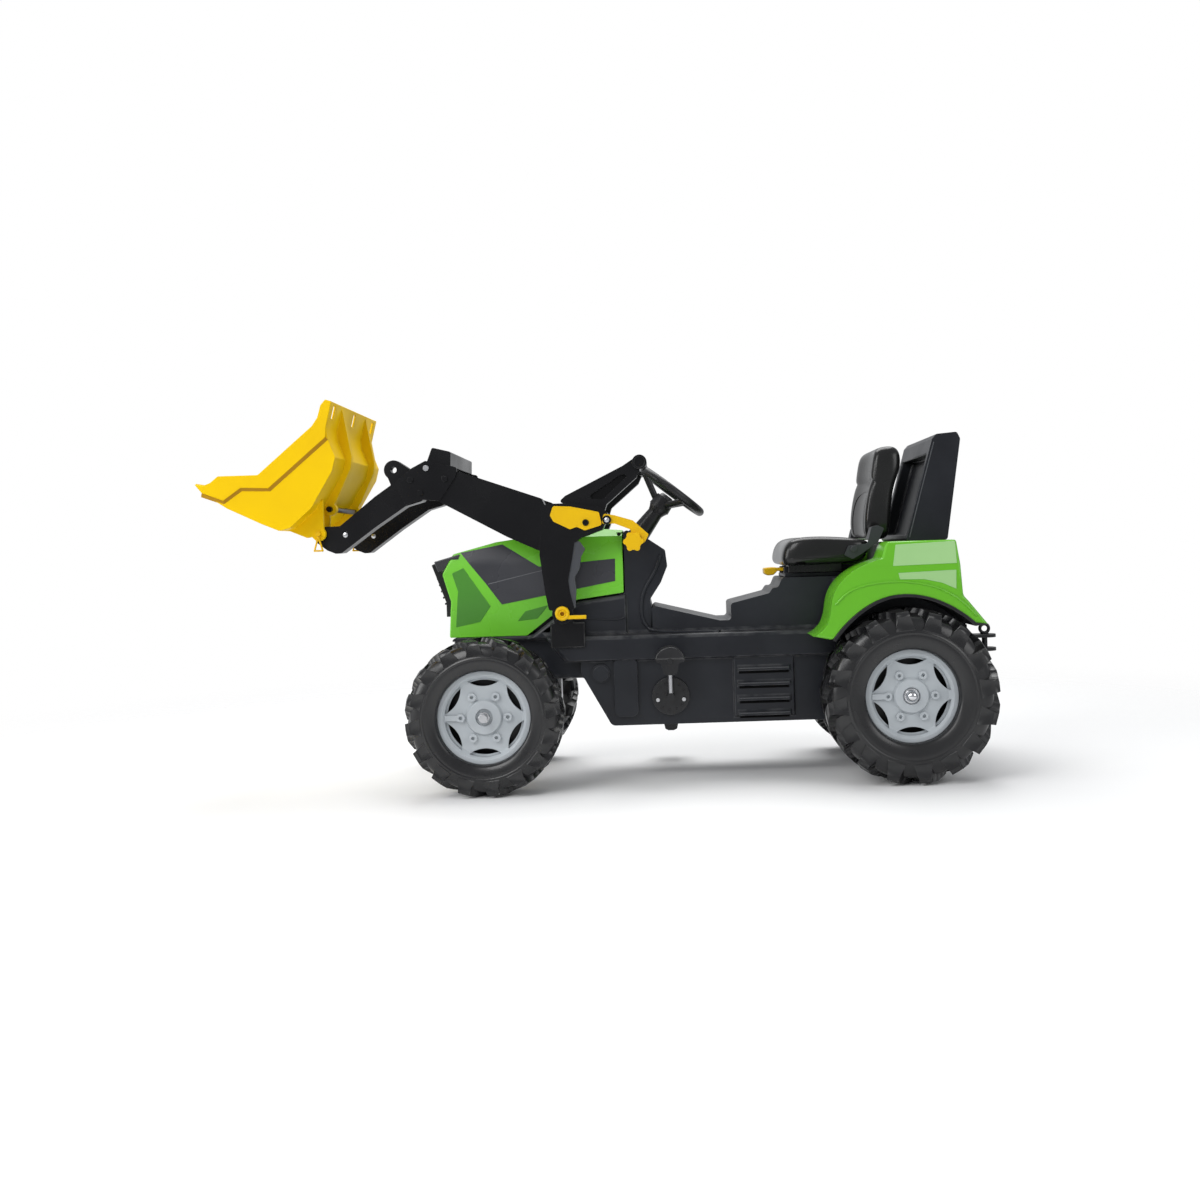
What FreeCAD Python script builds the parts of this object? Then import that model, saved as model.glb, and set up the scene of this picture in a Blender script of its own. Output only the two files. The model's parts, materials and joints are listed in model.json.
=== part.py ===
import FreeCAD, Part
import math
import os

# Ride-on pedal tractor with a front loader.
# Millimetres. X runs to the rear, Y to the right of the driver, Z up from the ground.

# Driving dimensions
WHEELBASE = 850.0
FRONT_AXLE_X = -256.0
REAR_AXLE_X = FRONT_AXLE_X + WHEELBASE
FRONT_TYRE_R = 158.0
FRONT_TYRE_W = 95.0
FRONT_WHEEL_Y = 207.0
REAR_TYRE_R = 175.0
REAR_TYRE_W = 110.0
REAR_WHEEL_Y = 210.0
RIM_R = 93.0
HULL_Y = 112.0
BAND_Y = 124.0
HULL_FLOOR_Z = 117.0
BAND_LOW_Z = 254.0
BAND_TOP_Z = 306.0
CRANK_X = 117.0
CRANK_Z = 176.0
CRANK_REACH = 80.0
STEER_X = 133.0
STEER_Z = 607.0
STEER_LEAN = 38.5
STEER_WHEEL_R = 76.0
PIVOT_X = -100.0
PIVOT_Z = 356.0
ARM_IN_Y = 108.0
ARM_OUT_Y = 148.0
BUCKET_PIN_X = -593.0
BUCKET_PIN_Z = 534.0
BUCKET_HALF_Y = 200.0
TAIL_OVER_TYRE = 133.0
TAIL_TOP_Z = REAR_TYRE_R * 2 + TAIL_OVER_TYRE
DECK_UNDER_TAIL = 69.0
SEAT_DECK_Z = TAIL_TOP_Z - DECK_UNDER_TAIL
WALL = 4.0
RUN_FIT = 0.06
AIR = 0.6

V = FreeCAD.Vector
SIDE = V(0, 1, 0)
os.makedirs("parts", exist_ok=True)


# Shape helpers
def save(node, shape):
    shape.exportStep("parts/" + node + ".step")


def mirrored(shape):
    """The same piece on the other side of the tractor."""
    return shape.mirror(V(0, 0, 0), SIDE)


def save_pair(name, left_shape):
    """Two nodes, one for each side."""
    save(name + "_left", left_shape)
    save(name + "_right", mirrored(left_shape))


def save_both(name, left_shape):
    """One node that holds the left and the right piece as separate solids."""
    save(name, Part.makeCompound([left_shape, mirrored(left_shape)]))


def box(x0, x1, y0, y1, z0, z1):
    return Part.makeBox(x1 - x0, y1 - y0, z1 - z0, V(x0, y0, z0))


def rod(start, end, radius):
    run = end.sub(start)
    return Part.makeCylinder(radius, run.Length, start, run)


def cross_rod(x, z, y0, y1, radius):
    """Round bar lying across the tractor."""
    return Part.makeCylinder(radius, y1 - y0, V(x, y0, z), SIDE)


def rounded_face(corners, rounding):
    """Flat face through the corners, each corner eased by an arc."""
    count = len(corners)
    edges = []
    last_end = None
    first_start = None
    for i in range(count):
        corner = corners[i]
        back = corners[i - 1].sub(corner)
        ahead = corners[(i + 1) % count].sub(corner)
        half = back.getAngle(ahead) / 2
        shorter = min(back.Length, ahead.Length)
        reach = min(rounding / math.tan(half), shorter * ROUND_SHARE)
        back.normalize()
        ahead.normalize()
        start = corner + back * reach
        end = corner + ahead * reach
        bisector = back + ahead
        if bisector.Length < STRAIGHT:
            start = corner
            end = corner
        if last_end is not None and last_end.distanceToPoint(start) > STRAIGHT:
            edges.append(Part.makeLine(last_end, start))
        if first_start is None:
            first_start = start
        if start.distanceToPoint(end) > STRAIGHT:
            bisector.normalize()
            depth = reach / math.cos(half) - reach * math.tan(half)
            edges.append(Part.Arc(start, corner + bisector * depth, end).toShape())
        last_end = end
    if last_end.distanceToPoint(first_start) > STRAIGHT:
        edges.append(Part.makeLine(last_end, first_start))
    return Part.Face(Part.Wire(edges))


ROUND_SHARE = 0.45
STRAIGHT = 0.001


def slab(points, y0, y1, rounding=0.0):
    """Side outline of (x, z) corners pulled across from y0 to y1."""
    corners = [V(x, y0, z) for x, z in points]
    if rounding > 0:
        face = rounded_face(corners, rounding)
    else:
        face = Part.Face(Part.makePolygon(corners + corners[:1]))
    return face.extrude(V(0, y1 - y0, 0))


def curved_slab(runs, y0, y1):
    """Side outline of straight and smooth runs of (x, z) points pulled across from y0 to y1."""
    edges = []
    for run in runs:
        corners = [V(x, y0, z) for x, z in run]
        if len(corners) == 2:
            edges.append(Part.makeLine(corners[0], corners[1]))
        else:
            curve = Part.BSplineCurve()
            curve.interpolate(corners)
            edges.append(curve.toShape())
    return Part.Face(Part.Wire(edges)).extrude(V(0, y1 - y0, 0))


def bar(points, x0, x1, rounding=0.0):
    """Cross outline of (y, z) corners pulled along from x0 to x1."""
    corners = [V(x0, y, z) for y, z in points]
    if rounding > 0:
        face = rounded_face(corners, rounding)
    else:
        face = Part.Face(Part.makePolygon(corners + corners[:1]))
    return face.extrude(V(x1 - x0, 0, 0))


def stretch(shares, x0, x1, z0, z1):
    """Corners given as shares of a box from (x0, z0) to (x1, z1)."""
    return [(x0 + sx * (x1 - x0), z0 + sz * (z1 - z0)) for sx, sz in shares]


def spun(points, x, z, rounding=0.0):
    """Outline of (radius, y) corners spun about a cross line at x, z."""
    corners = [V(x + radius, y, z) for radius, y in points]
    if rounding > 0:
        face = rounded_face(corners, rounding)
    else:
        face = Part.Face(Part.makePolygon(corners + corners[:1]))
    return face.revolve(V(x, 0, z), SIDE, 360)


def joined(shapes):
    whole = shapes[0].multiFuse(shapes[1:])
    return whole.removeSplitter()


def turned_about(shape, x, z, degrees):
    copy = shape.copy()
    copy.rotate(V(x, 0, z), SIDE, degrees)
    return copy


# Main frame: one blow-moulded black hull, hollow, that carries everything
HULL_FRONT_X = -68.0
HULL_TOE_X = -7.0
HEEL_BEHIND_AXLE = 86.0
HULL_HEEL_X = REAR_AXLE_X + HEEL_BEHIND_AXLE
HULL_BEHIND_AXLE = 141.0
HULL_REAR_X = REAR_AXLE_X + HULL_BEHIND_AXLE
NOTCH_Z = 228.0
ARCH_X = -101.0
BAND_NOSE_X = -141.0
HULL_ROUND = 14.0
hull_side = [
    (HULL_FRONT_X, BAND_LOW_Z + WALL),
    (HULL_FRONT_X, NOTCH_Z),
    (HULL_TOE_X, HULL_FLOOR_Z),
    (HULL_HEEL_X, HULL_FLOOR_Z),
    (HULL_REAR_X, NOTCH_Z),
    (HULL_REAR_X, BAND_LOW_Z + WALL),
]
band_side = [
    (BAND_NOSE_X, BAND_TOP_Z),
    (ARCH_X, BAND_LOW_Z),
    (HULL_REAR_X, BAND_LOW_Z),
    (HULL_REAR_X, BAND_TOP_Z),
]

# Cheek under the slanted hood edge
CHEEK_Y = 100.0
HOOD_REAR_X = 25.0
CHEEK_SHARES = [(0.0, 0.0), (0.38, 0.66), (0.53, 0.86), (1.0, 1.0), (1.0, 0.0)]
CHEEK_FRONT_X = -180.0
CHEEK_TOP_Z = 390.0

# Dash and foot deck
DASH_Y = 92.0
DASH_GAP = 3.0
DASH_TOP_Z = 527.0
DASH_REAR_X = 118.0
DASH_SHARES = [(0.0, 0.0), (0.0, 1.0), (0.60, 0.89), (0.96, 0.79), (1.0, 0.64),
               (0.84, 0.49), (0.57, 0.33), (0.60, 0.27), (0.80, 0.0)]
DECK_Y = 100.0
DECK_FRONT_X = 83.0
DECK_BEHIND_AXLE = 106.0
DECK_REAR_X = REAR_AXLE_X + DECK_BEHIND_AXLE
DECK_SHARES = [(0.0, 0.0), (0.0, 0.56), (0.23, 0.24), (0.268, 0.24), (0.268, 0.55),
               (0.40, 0.72), (0.412, 0.82), (0.43, 0.82), (0.445, 1.0), (1.0, 1.0), (1.0, 0.0)]

# Tail box behind the seat, between the fenders
TAIL_Y = 125.0
TAIL_BEFORE_AXLE = 124.0
TAIL_FRONT_X = REAR_AXLE_X - TAIL_BEFORE_AXLE
TAIL_SHARES = [(0.0, 0.0), (0.0, 0.60), (0.36, 0.62), (0.40, 1.0), (0.86, 1.0), (0.88, 0.37), (1.0, 0.0)]

# Front rails, open between for the steering shaft
RAIL_FRONT_X = -338.0
RAIL_IN_Y = 40.0
RAIL_OUT_Y = 72.0
RAIL_LOW_Z = 214.0
HOOD_LOW_Z = 309.0
LEDGE_Y = 90.0
LEDGE_THICK = 8.0
SILL = 0.3

# Inner space for the chain drive
CAVITY_FRONT_X = 40.0
CAVITY_BEHIND_AXLE = 71.0
CAVITY_REAR_X = REAR_AXLE_X + CAVITY_BEHIND_AXLE
CAVITY_Y = 90.0
CAVITY_LOW_Z = 124.0
CAVITY_TOP_Z = 298.0

# Bearings that carry crank and rear axle in the hull walls
BUSH_R = 14.0
CRANK_ROD_R = 8.0
REAR_ROD_R = 8.0

# Raised details on the hull sides
BULGE_FRONT_X = 0.0
BULGE_REAR_X = 49.0
BULGE_LOW_Z = 136.0
BULGE_DEPTH = 9.0
LOUVRE_FRONT_X = 249.0
LOUVRE_REAR_X = 374.0
LOUVRE_LOW_Z = 130.0
LOUVRE_DEPTH = 6.0
LOUVRE_RIBS = 4
RIB_HEIGHT = 7.0
RIB_DEPTH = 5.0
INSET = 8.0


def hull_detail():
    """Bulge and louvre block of the left side."""
    face_y = -HULL_Y
    bulge_top = BAND_LOW_Z + WALL
    bulge = slab([(BULGE_FRONT_X, BULGE_LOW_Z), (BULGE_REAR_X, BULGE_LOW_Z),
                  (BULGE_REAR_X, bulge_top), (BULGE_FRONT_X, bulge_top)],
                 face_y - BULGE_DEPTH, face_y + WALL, HULL_ROUND)
    block = box(LOUVRE_FRONT_X, LOUVRE_REAR_X, face_y - LOUVRE_DEPTH, face_y + WALL,
                LOUVRE_LOW_Z, BAND_LOW_Z + WALL)
    parts = [bulge, block]
    pitch = (BAND_LOW_Z - LOUVRE_LOW_Z) / LOUVRE_RIBS
    for i in range(LOUVRE_RIBS):
        low = LOUVRE_LOW_Z + i * pitch
        outer = face_y - LOUVRE_DEPTH - RIB_DEPTH
        parts.append(bar([(face_y, low), (outer, low), (outer, low + RIB_HEIGHT),
                          (face_y, low + pitch / 2)],
                         LOUVRE_FRONT_X + INSET, LOUVRE_REAR_X - INSET))
    return parts


def dash_block():
    corners = stretch(DASH_SHARES, HOOD_REAR_X + DASH_GAP, DASH_REAR_X, BAND_TOP_Z - WALL, DASH_TOP_Z)
    return slab(corners, -DASH_Y, DASH_Y, HULL_ROUND / 2)


def main_frame():
    solids = [slab(hull_side, -HULL_Y, HULL_Y, HULL_ROUND), slab(band_side, -BAND_Y, BAND_Y)]
    base_z = BAND_TOP_Z - WALL
    cheek = stretch(CHEEK_SHARES, CHEEK_FRONT_X, HOOD_REAR_X + WALL, base_z, CHEEK_TOP_Z)
    solids.append(slab(cheek, -CHEEK_Y, CHEEK_Y))
    solids.append(dash_block())
    deck = stretch(DECK_SHARES, DECK_FRONT_X, DECK_REAR_X, base_z, SEAT_DECK_Z)
    solids.append(slab(deck, -DECK_Y, DECK_Y, HULL_ROUND / 2))
    tail = stretch(TAIL_SHARES, TAIL_FRONT_X, HULL_REAR_X, base_z, TAIL_TOP_Z)
    solids.append(slab(tail, -TAIL_Y, TAIL_Y))
    ledge_top = HOOD_LOW_Z - SILL
    solids.append(box(RAIL_FRONT_X, CHEEK_FRONT_X + RAIL_OUT_Y, -LEDGE_Y, LEDGE_Y,
                      ledge_top - LEDGE_THICK, ledge_top))
    for inner in (RAIL_IN_Y, -RAIL_OUT_Y):
        outer = inner + RAIL_OUT_Y - RAIL_IN_Y
        solids.append(box(RAIL_FRONT_X, HULL_TOE_X, inner, outer, RAIL_LOW_Z, ledge_top))
    solids.append(box(RAIL_FRONT_X, RAIL_FRONT_X + RAIL_IN_Y, -RAIL_OUT_Y, RAIL_OUT_Y, RAIL_LOW_Z,
                      ledge_top))
    details = hull_detail()
    solids += details
    solids += [mirrored(piece) for piece in details]
    whole = joined(solids)
    cuts = [box(CAVITY_FRONT_X, CAVITY_REAR_X, -CAVITY_Y, CAVITY_Y, CAVITY_LOW_Z, CAVITY_TOP_Z),
            cross_rod(CRANK_X, CRANK_Z, -BAND_Y, BAND_Y, BUSH_R),
            cross_rod(REAR_AXLE_X, REAR_TYRE_R, -BAND_Y, BAND_Y, BUSH_R),
            shaft_path(SHAFT_HOLE_R),
            box(RAIL_FRONT_X + RAIL_IN_Y, HULL_FRONT_X, -RAIL_IN_Y, RAIL_IN_Y, RAIL_LOW_Z - WALL,
                HOOD_LOW_Z)]
    for piece in cuts:
        whole = whole.cut(piece)
    return whole


# Steering shaft line: leans back from the front axle up to the driver
lean = math.radians(STEER_LEAN)
AXIS = V(math.sin(lean), 0, math.cos(lean))
FORWARD_DOWN = V(math.cos(lean), 0, -math.sin(lean))
HUB_DROP = 34.0
SHAFT_LENGTH = 500.0
SHAFT_R = 8.0
SHAFT_HOLE_R = 15.0
steer_centre = V(STEER_X, 0, STEER_Z)


def on_axis(distance):
    """Point on the steering line, measured down from the steering wheel centre."""
    return steer_centre - AXIS * distance


def shaft_path(radius):
    return rod(on_axis(HUB_DROP), on_axis(SHAFT_LENGTH + HUB_DROP), radius)


# Steering wheel: thick rim, three dished spokes and a hub cap
RIM_TUBE_R = 9.0
HUB_R = 24.0
HUB_HIGH = 26.0
SPOKE_R = 7.0
SPOKES = 3
CAP_R = 17.0
CAP_HIGH = 7.0


def steering_wheel():
    rim = Part.makeTorus(STEER_WHEEL_R, RIM_TUBE_R, steer_centre, AXIS)
    hub = Part.makeCone(HUB_R, CAP_R + WALL, HUB_HIGH, on_axis(HUB_DROP + HUB_HIGH / 2), AXIS)
    solids = [rim, hub]
    for i in range(SPOKES):
        turn = FreeCAD.Rotation(AXIS, 90 + i * 360 / SPOKES)
        out = turn.multVec(SIDE)
        solids.append(rod(on_axis(HUB_DROP) + out * (HUB_R - SPOKE_R), steer_centre + out * STEER_WHEEL_R,
                          SPOKE_R))
    solids.append(Part.makeCone(CAP_R, CAP_R - WALL, CAP_HIGH, on_axis(HUB_DROP - HUB_HIGH / 2), AXIS))
    wheel = joined(solids)
    return wheel.cut(rod(on_axis(HUB_DROP + HUB_HIGH), on_axis(HUB_DROP), SHAFT_R))


# Steering shaft with its drop arm and ball, below the hood
DROP_REACH = 31.0
DROP_ARM_R = 7.0
BALL_R = 7.0
DROP_X = -158.0
DROP_DISTANCE = (STEER_X - DROP_X) / math.sin(lean)
ball_centre = on_axis(DROP_DISTANCE) + FORWARD_DOWN * DROP_REACH


def steering_shaft():
    shaft = rod(on_axis(DROP_DISTANCE + DROP_ARM_R), on_axis(HUB_DROP), SHAFT_R)
    arm = rod(on_axis(DROP_DISTANCE), ball_centre, DROP_ARM_R - WALL / 2)
    ball = Part.makeSphere(BALL_R, ball_centre)
    return joined([shaft, arm, ball])


# Column tube: fixed sleeve on the dash in which the shaft turns
TUBE_TOP = 52.0
TUBE_FOOT = 150.0
TUBE_TOP_R = 14.0
TUBE_FOOT_R = 23.0


def column_tube():
    sleeve = rod(on_axis(TUBE_FOOT), on_axis(TUBE_TOP), SHAFT_HOLE_R)
    cone = Part.makeCone(TUBE_FOOT_R, TUBE_TOP_R + WALL / 2, TUBE_FOOT / 2,
                         on_axis(TUBE_FOOT * BOOT_SHARE), AXIS)
    tube = sleeve.fuse(cone.cut(dash_block()))
    tube = tube.cut(rod(on_axis(TUBE_FOOT + WALL), on_axis(HUB_DROP), SHAFT_R + RUN_FIT))
    return tube.removeSplitter()


BOOT_SHARE = 0.86


# Front axle beam with king-pin eyes
KING_Y = 140.0
KING_R = 7.0
EYE_R = 14.0
EYE_LOW_Z = 144.0
EYE_TOP_Z = 172.0
BEAM_HALF_X = 16.0
PAD_HALF_Y = 44.0
PAD_HALF_X = 26.0
STUB_R = 8.0
FORK_THICK = 11.0
FORK_OUT_Y = 166.0
STUB_END_Y = 252.0
STEER_ARM = 60.0
STEER_ARM_HALF = 10.0
TIE_PIN_R = 5.0
TIE_LOW_Z = 108.0
TIE_THICK = 10.0
TIE_EYE_R = 15.0


def front_axle_beam():
    beam = box(FRONT_AXLE_X - BEAM_HALF_X, FRONT_AXLE_X + BEAM_HALF_X, -KING_Y, KING_Y, EYE_LOW_Z,
               EYE_TOP_Z)
    post = box(FRONT_AXLE_X - PAD_HALF_X, FRONT_AXLE_X + PAD_HALF_X, -PAD_HALF_Y, PAD_HALF_Y, EYE_LOW_Z,
               RAIL_LOW_Z)
    solids = [beam, post]
    holes = []
    for y in (-KING_Y, KING_Y):
        foot = V(FRONT_AXLE_X, y, EYE_LOW_Z)
        solids.append(Part.makeCylinder(BEAM_HALF_X, EYE_TOP_Z - EYE_LOW_Z, foot))
        holes.append(Part.makeCylinder(KING_R + RUN_FIT, EYE_TOP_Z - EYE_LOW_Z, foot))
    whole = joined(solids)
    for hole in holes:
        whole = whole.cut(hole)
    return whole


def knuckle():
    """Left steering knuckle: fork round the beam eye, king pin, stub axle and steering arm."""
    out = -1
    solids = []
    low_foot = EYE_LOW_Z - AIR - FORK_THICK
    top_foot = EYE_TOP_Z + AIR
    web_in = KING_Y + BEAM_HALF_X + AIR
    for foot in (low_foot, top_foot):
        solids.append(box(FRONT_AXLE_X - EYE_R, FRONT_AXLE_X + EYE_R, out * FORK_OUT_Y,
                          out * (KING_Y - EYE_R),
                          foot, foot + FORK_THICK))
    solids.append(box(FRONT_AXLE_X - EYE_R, FRONT_AXLE_X + EYE_R, out * FORK_OUT_Y, out * web_in,
                      low_foot, top_foot + FORK_THICK))
    solids.append(cross_rod(FRONT_AXLE_X, FRONT_TYRE_R, out * STUB_END_Y, out * web_in, STUB_R))
    arm_end = FRONT_AXLE_X + STEER_ARM
    solids.append(box(FRONT_AXLE_X, arm_end, out * (KING_Y + STEER_ARM_HALF),
                      out * (KING_Y - STEER_ARM_HALF),
                      low_foot, low_foot + FORK_THICK))
    solids.append(Part.makeCylinder(STEER_ARM_HALF, FORK_THICK, V(arm_end, out * KING_Y, low_foot)))
    pin_low = TIE_LOW_Z - WALL - SILL
    solids.append(Part.makeCylinder(TIE_PIN_R, low_foot - pin_low, V(arm_end, out * KING_Y, pin_low)))
    solids.append(Part.makeCylinder(TIE_EYE_R - WALL, WALL, V(arm_end, out * KING_Y, pin_low)))
    high = top_foot + FORK_THICK
    solids.append(Part.makeCylinder(KING_R, high - low_foot, V(FRONT_AXLE_X, out * KING_Y, low_foot)))
    solids.append(Part.makeCylinder(KING_R + WALL, WALL, V(FRONT_AXLE_X, out * KING_Y, high)))
    return joined(solids)


# Tie rod: links both steering arms, its fork takes the ball of the drop arm
TIE_SLOT_X = 6.0
TIE_PLAY = 1.2
FORK_WALL = 6.0
FORK_REACH = 16.0
PRONG_FRONT = 6.0
PRONG_HIGH = 4.0


def tie_rod():
    x = FRONT_AXLE_X + STEER_ARM
    top = TIE_LOW_Z + TIE_THICK
    solids = [box(x - STEER_ARM_HALF, x + STEER_ARM_HALF, -KING_Y, KING_Y, TIE_LOW_Z, top)]
    holes = []
    for y in (-KING_Y, KING_Y):
        solids.append(Part.makeCylinder(TIE_EYE_R, TIE_THICK, V(x, y, TIE_LOW_Z)))
        reach = TIE_PIN_R + TIE_SLOT_X
        side = TIE_PIN_R + TIE_PLAY
        holes.append(box(x - reach, x + TIE_PIN_R + TIE_PLAY, y - side, y + side, TIE_LOW_Z, top))
    inner = BALL_R + TIE_PLAY
    outer = inner + FORK_WALL
    fork_rear = ball_centre.x + FORK_REACH
    stalk_top = ball_centre.z - FORK_REACH
    solids.append(box(x, fork_rear, -outer, outer, TIE_LOW_Z, stalk_top))
    for ends in ((-outer, -inner), (inner, outer)):
        solids.append(box(ball_centre.x - PRONG_FRONT, fork_rear, ends[0], ends[1],
                          stalk_top - WALL, ball_centre.z + PRONG_HIGH))
    whole = joined(solids)
    for hole in holes:
        whole = whole.cut(hole)
    return whole


# Wheels: lugged tyre on a plastic rim with six slots and six bosses
LUGS = 16
CARCASS_SHARES = [(0.66, 0.0), (0.90, 0.10), (1.0, 0.36), (0.99, 0.46), (0.88, 0.62), (0.70, 0.77),
                  (0.30, 0.85)]
LUG_TOP_SHARES = [(1.0, 0.47), (1.0, 0.86), (0.94, 0.96), (0.60, 1.0), (0.0, 1.0)]
LUG_BASE_SHARE = 0.46
LUG_WIDE_SHARE = 0.44
LUG_TIP_SHARE = 0.34
LUG_SWEEP_SHARE = 0.62
TYRE_ROUND = 6.0


def tyre(radius, width, x, y):
    half = width / 2
    section = radius - RIM_R

    def at(shares, side):
        return [(RIM_R + r * section, y + side * s * half) for s, r in shares]

    carcass = spun(at(CARCASS_SHARES, -1) + at(CARCASS_SHARES, 1)[::-1], x, radius, TYRE_ROUND)
    pitch = 2 * math.pi * radius / LUGS
    wide = pitch * LUG_WIDE_SHARE / 2
    tip = pitch * LUG_TIP_SHARE / 2
    sweep = pitch * LUG_SWEEP_SHARE
    base = RIM_R + section * LUG_BASE_SHARE
    lugs = []
    for side in (-1, 1):
        top = at(LUG_TOP_SHARES, side)
        ring = spun(top + [(base, y), (base, y + side * half)], x, radius)
        outer = y + side * half
        corners = [V(x + base, outer, radius - wide), V(x + base, outer, radius + wide),
                   V(x + base, y, radius + sweep + tip), V(x + base, y, radius + sweep - tip)]
        lug = Part.Face(Part.makePolygon(corners + corners[:1])).extrude(V(section, 0, 0)).common(ring)
        for i in range(LUGS):
            lugs.append(turned_about(lug, x, radius, (i + side / 4) * 360 / LUGS))
    return joined([carcass] + lugs)


WEB_SHARE = 0.42
WEB_THICK = 5.0
RIM_WALL = 4.0
LIP_DEEP = 9.0
LIP_WIDE = 9.0
HUB_IN_SHARE = 0.60
WHEEL_HUB_R = 22.0
CENTRE_R = 33.0
CENTRE_HIGH = 6.0
RECESS_R = 17.0
BOSSES = 6
BOSS_RING_R = 47.0
BOSS_R = 8.5
BOSS_HIGH = 6.0
BOSS_SINK_R = 3.5
BOSS_SINK_DEEP = 5.0
SLOT_OUT_R = 79.0
SLOT_HALF_DEG = 24.0
SLOT_BULGE_SHARE = 0.86
TAB_HALF = 6.0


def rim(width, x, z, y, bore):
    """Left rim, its face looking to the left."""
    half = width / 2
    web = y - half * WEB_SHARE
    inner = y + half * HUB_IN_SHARE
    lip = web - LIP_DEEP
    profile = [(bore, inner), (WHEEL_HUB_R, inner), (WHEEL_HUB_R, web + WEB_THICK),
               (RIM_R - RIM_WALL, web + WEB_THICK), (RIM_R - RIM_WALL, inner), (RIM_R, inner),
               (RIM_R, lip),
               (RIM_R - LIP_WIDE, lip), (RIM_R - LIP_WIDE - LIP_DEEP, web), (CENTRE_R + WALL, web),
               (CENTRE_R, web - CENTRE_HIGH), (RECESS_R, web - CENTRE_HIGH), (RECESS_R, web), (bore, web)]
    wheel = spun(profile, x, z)
    extras = []
    slots = []
    reach = math.radians(SLOT_HALF_DEG)
    side_x = SLOT_OUT_R * math.cos(reach)
    side_z = SLOT_OUT_R * math.sin(reach)
    front = lip - WALL
    left = V(x + side_x, front, z - side_z)
    right = V(x + side_x, front, z + side_z)
    outer = Part.Arc(left, V(x + SLOT_OUT_R, front, z), right).toShape()
    inner_arc = Part.Arc(right, V(x + side_x * SLOT_BULGE_SHARE, front, z), left).toShape()
    slot = Part.Face(Part.Wire([outer, inner_arc])).extrude(V(0, WEB_THICK + LIP_DEEP + WALL * 2, 0))
    boss = cross_rod(x + BOSS_RING_R, z, web - BOSS_HIGH, web + WEB_THICK, BOSS_R)
    sink = cross_rod(x + BOSS_RING_R, z, web - BOSS_HIGH, web - BOSS_HIGH + BOSS_SINK_DEEP, BOSS_SINK_R)
    for i in range(BOSSES):
        angle = i * 360 / BOSSES
        extras.append(turned_about(boss, x, z, angle))
        slots.append(turned_about(sink, x, z, angle))
        slots.append(turned_about(slot, x, z, angle + 180 / BOSSES))
    extras.append(box(x - SLOT_OUT_R, x - BOSS_RING_R, web - BOSS_HIGH, web + WEB_THICK, z - TAB_HALF,
                      z + TAB_HALF))
    wheel = joined([wheel] + extras)
    for slot_cut in slots:
        wheel = wheel.cut(slot_cut)
    return wheel


NUT_R = 12.0
NUT_HIGH = 9.0
DOME_R = 12.0


def stub_nut():
    """Left front axle nut with a washer, screwed on the stub."""
    web = -FRONT_WHEEL_Y - FRONT_TYRE_W / 2 * WEB_SHARE
    face = web - AIR
    hexagon = [V(FRONT_AXLE_X + NUT_R * math.cos(math.radians(60 * i)), face - NUT_HIGH,
                 FRONT_TYRE_R + NUT_R * math.sin(math.radians(60 * i))) for i in range(6)]
    nut = Part.Face(Part.makePolygon(hexagon + hexagon[:1])).extrude(V(0, NUT_HIGH, 0))
    return nut.cut(cross_rod(FRONT_AXLE_X, FRONT_TYRE_R, -STUB_END_Y, face, STUB_R))


def axle_nut():
    """Left rear axle nut: washer with a chromed dome."""
    web = -REAR_WHEEL_Y - REAR_TYRE_W / 2 * WEB_SHARE
    skirt = cross_rod(REAR_AXLE_X, REAR_TYRE_R, web - WALL, web, RECESS_R - WALL / 2)
    end = web - NUT_HIGH
    barrel = cross_rod(REAR_AXLE_X, REAR_TYRE_R, end, web, DOME_R)
    ball = Part.makeSphere(DOME_R, V(REAR_AXLE_X, end, REAR_TYRE_R))
    dome = ball.common(cross_rod(REAR_AXLE_X, REAR_TYRE_R, end - DOME_R, end, DOME_R))
    nut = joined([skirt, barrel, dome])
    return nut.cut(cross_rod(REAR_AXLE_X, REAR_TYRE_R, end, web, REAR_ROD_R))


# Chain drive inside the hull
CHAIN_Y = 40.0
CHAIN_PITCH = 12.7
CRANK_TEETH = 20
REAR_TEETH = 14
SPROCKET_THICK = 4.0
ROLLER_R = 4.0
TOOTH_SHARE = 0.3
CHAIN_WIDE = 9.0
CHAIN_HIGH = 8.0
CHAIN_FREE = 0.5
crank_pitch_r = CHAIN_PITCH / (2 * math.sin(math.pi / CRANK_TEETH))
rear_pitch_r = CHAIN_PITCH / (2 * math.sin(math.pi / REAR_TEETH))


def sprocket(teeth, pitch_r, x, z, bore):
    tip = pitch_r + ROLLER_R * TOOTH_SHARE
    disc = cross_rod(x, z, CHAIN_Y - SPROCKET_THICK / 2, CHAIN_Y + SPROCKET_THICK / 2, tip)
    hub = cross_rod(x, z, CHAIN_Y - SPROCKET_THICK * 2, CHAIN_Y + SPROCKET_THICK * 2, bore + WALL)
    whole = joined([disc, hub])
    gaps = []
    for i in range(teeth):
        angle = 2 * math.pi * i / teeth
        gaps.append(cross_rod(x + pitch_r * math.cos(angle), z + pitch_r * math.sin(angle),
                              CHAIN_Y - SPROCKET_THICK, CHAIN_Y + SPROCKET_THICK, ROLLER_R))
    for gap in gaps:
        whole = whole.cut(gap)
    return whole.cut(cross_rod(x, z, CHAIN_Y - SPROCKET_THICK * 2, CHAIN_Y + SPROCKET_THICK * 2, bore))


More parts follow.
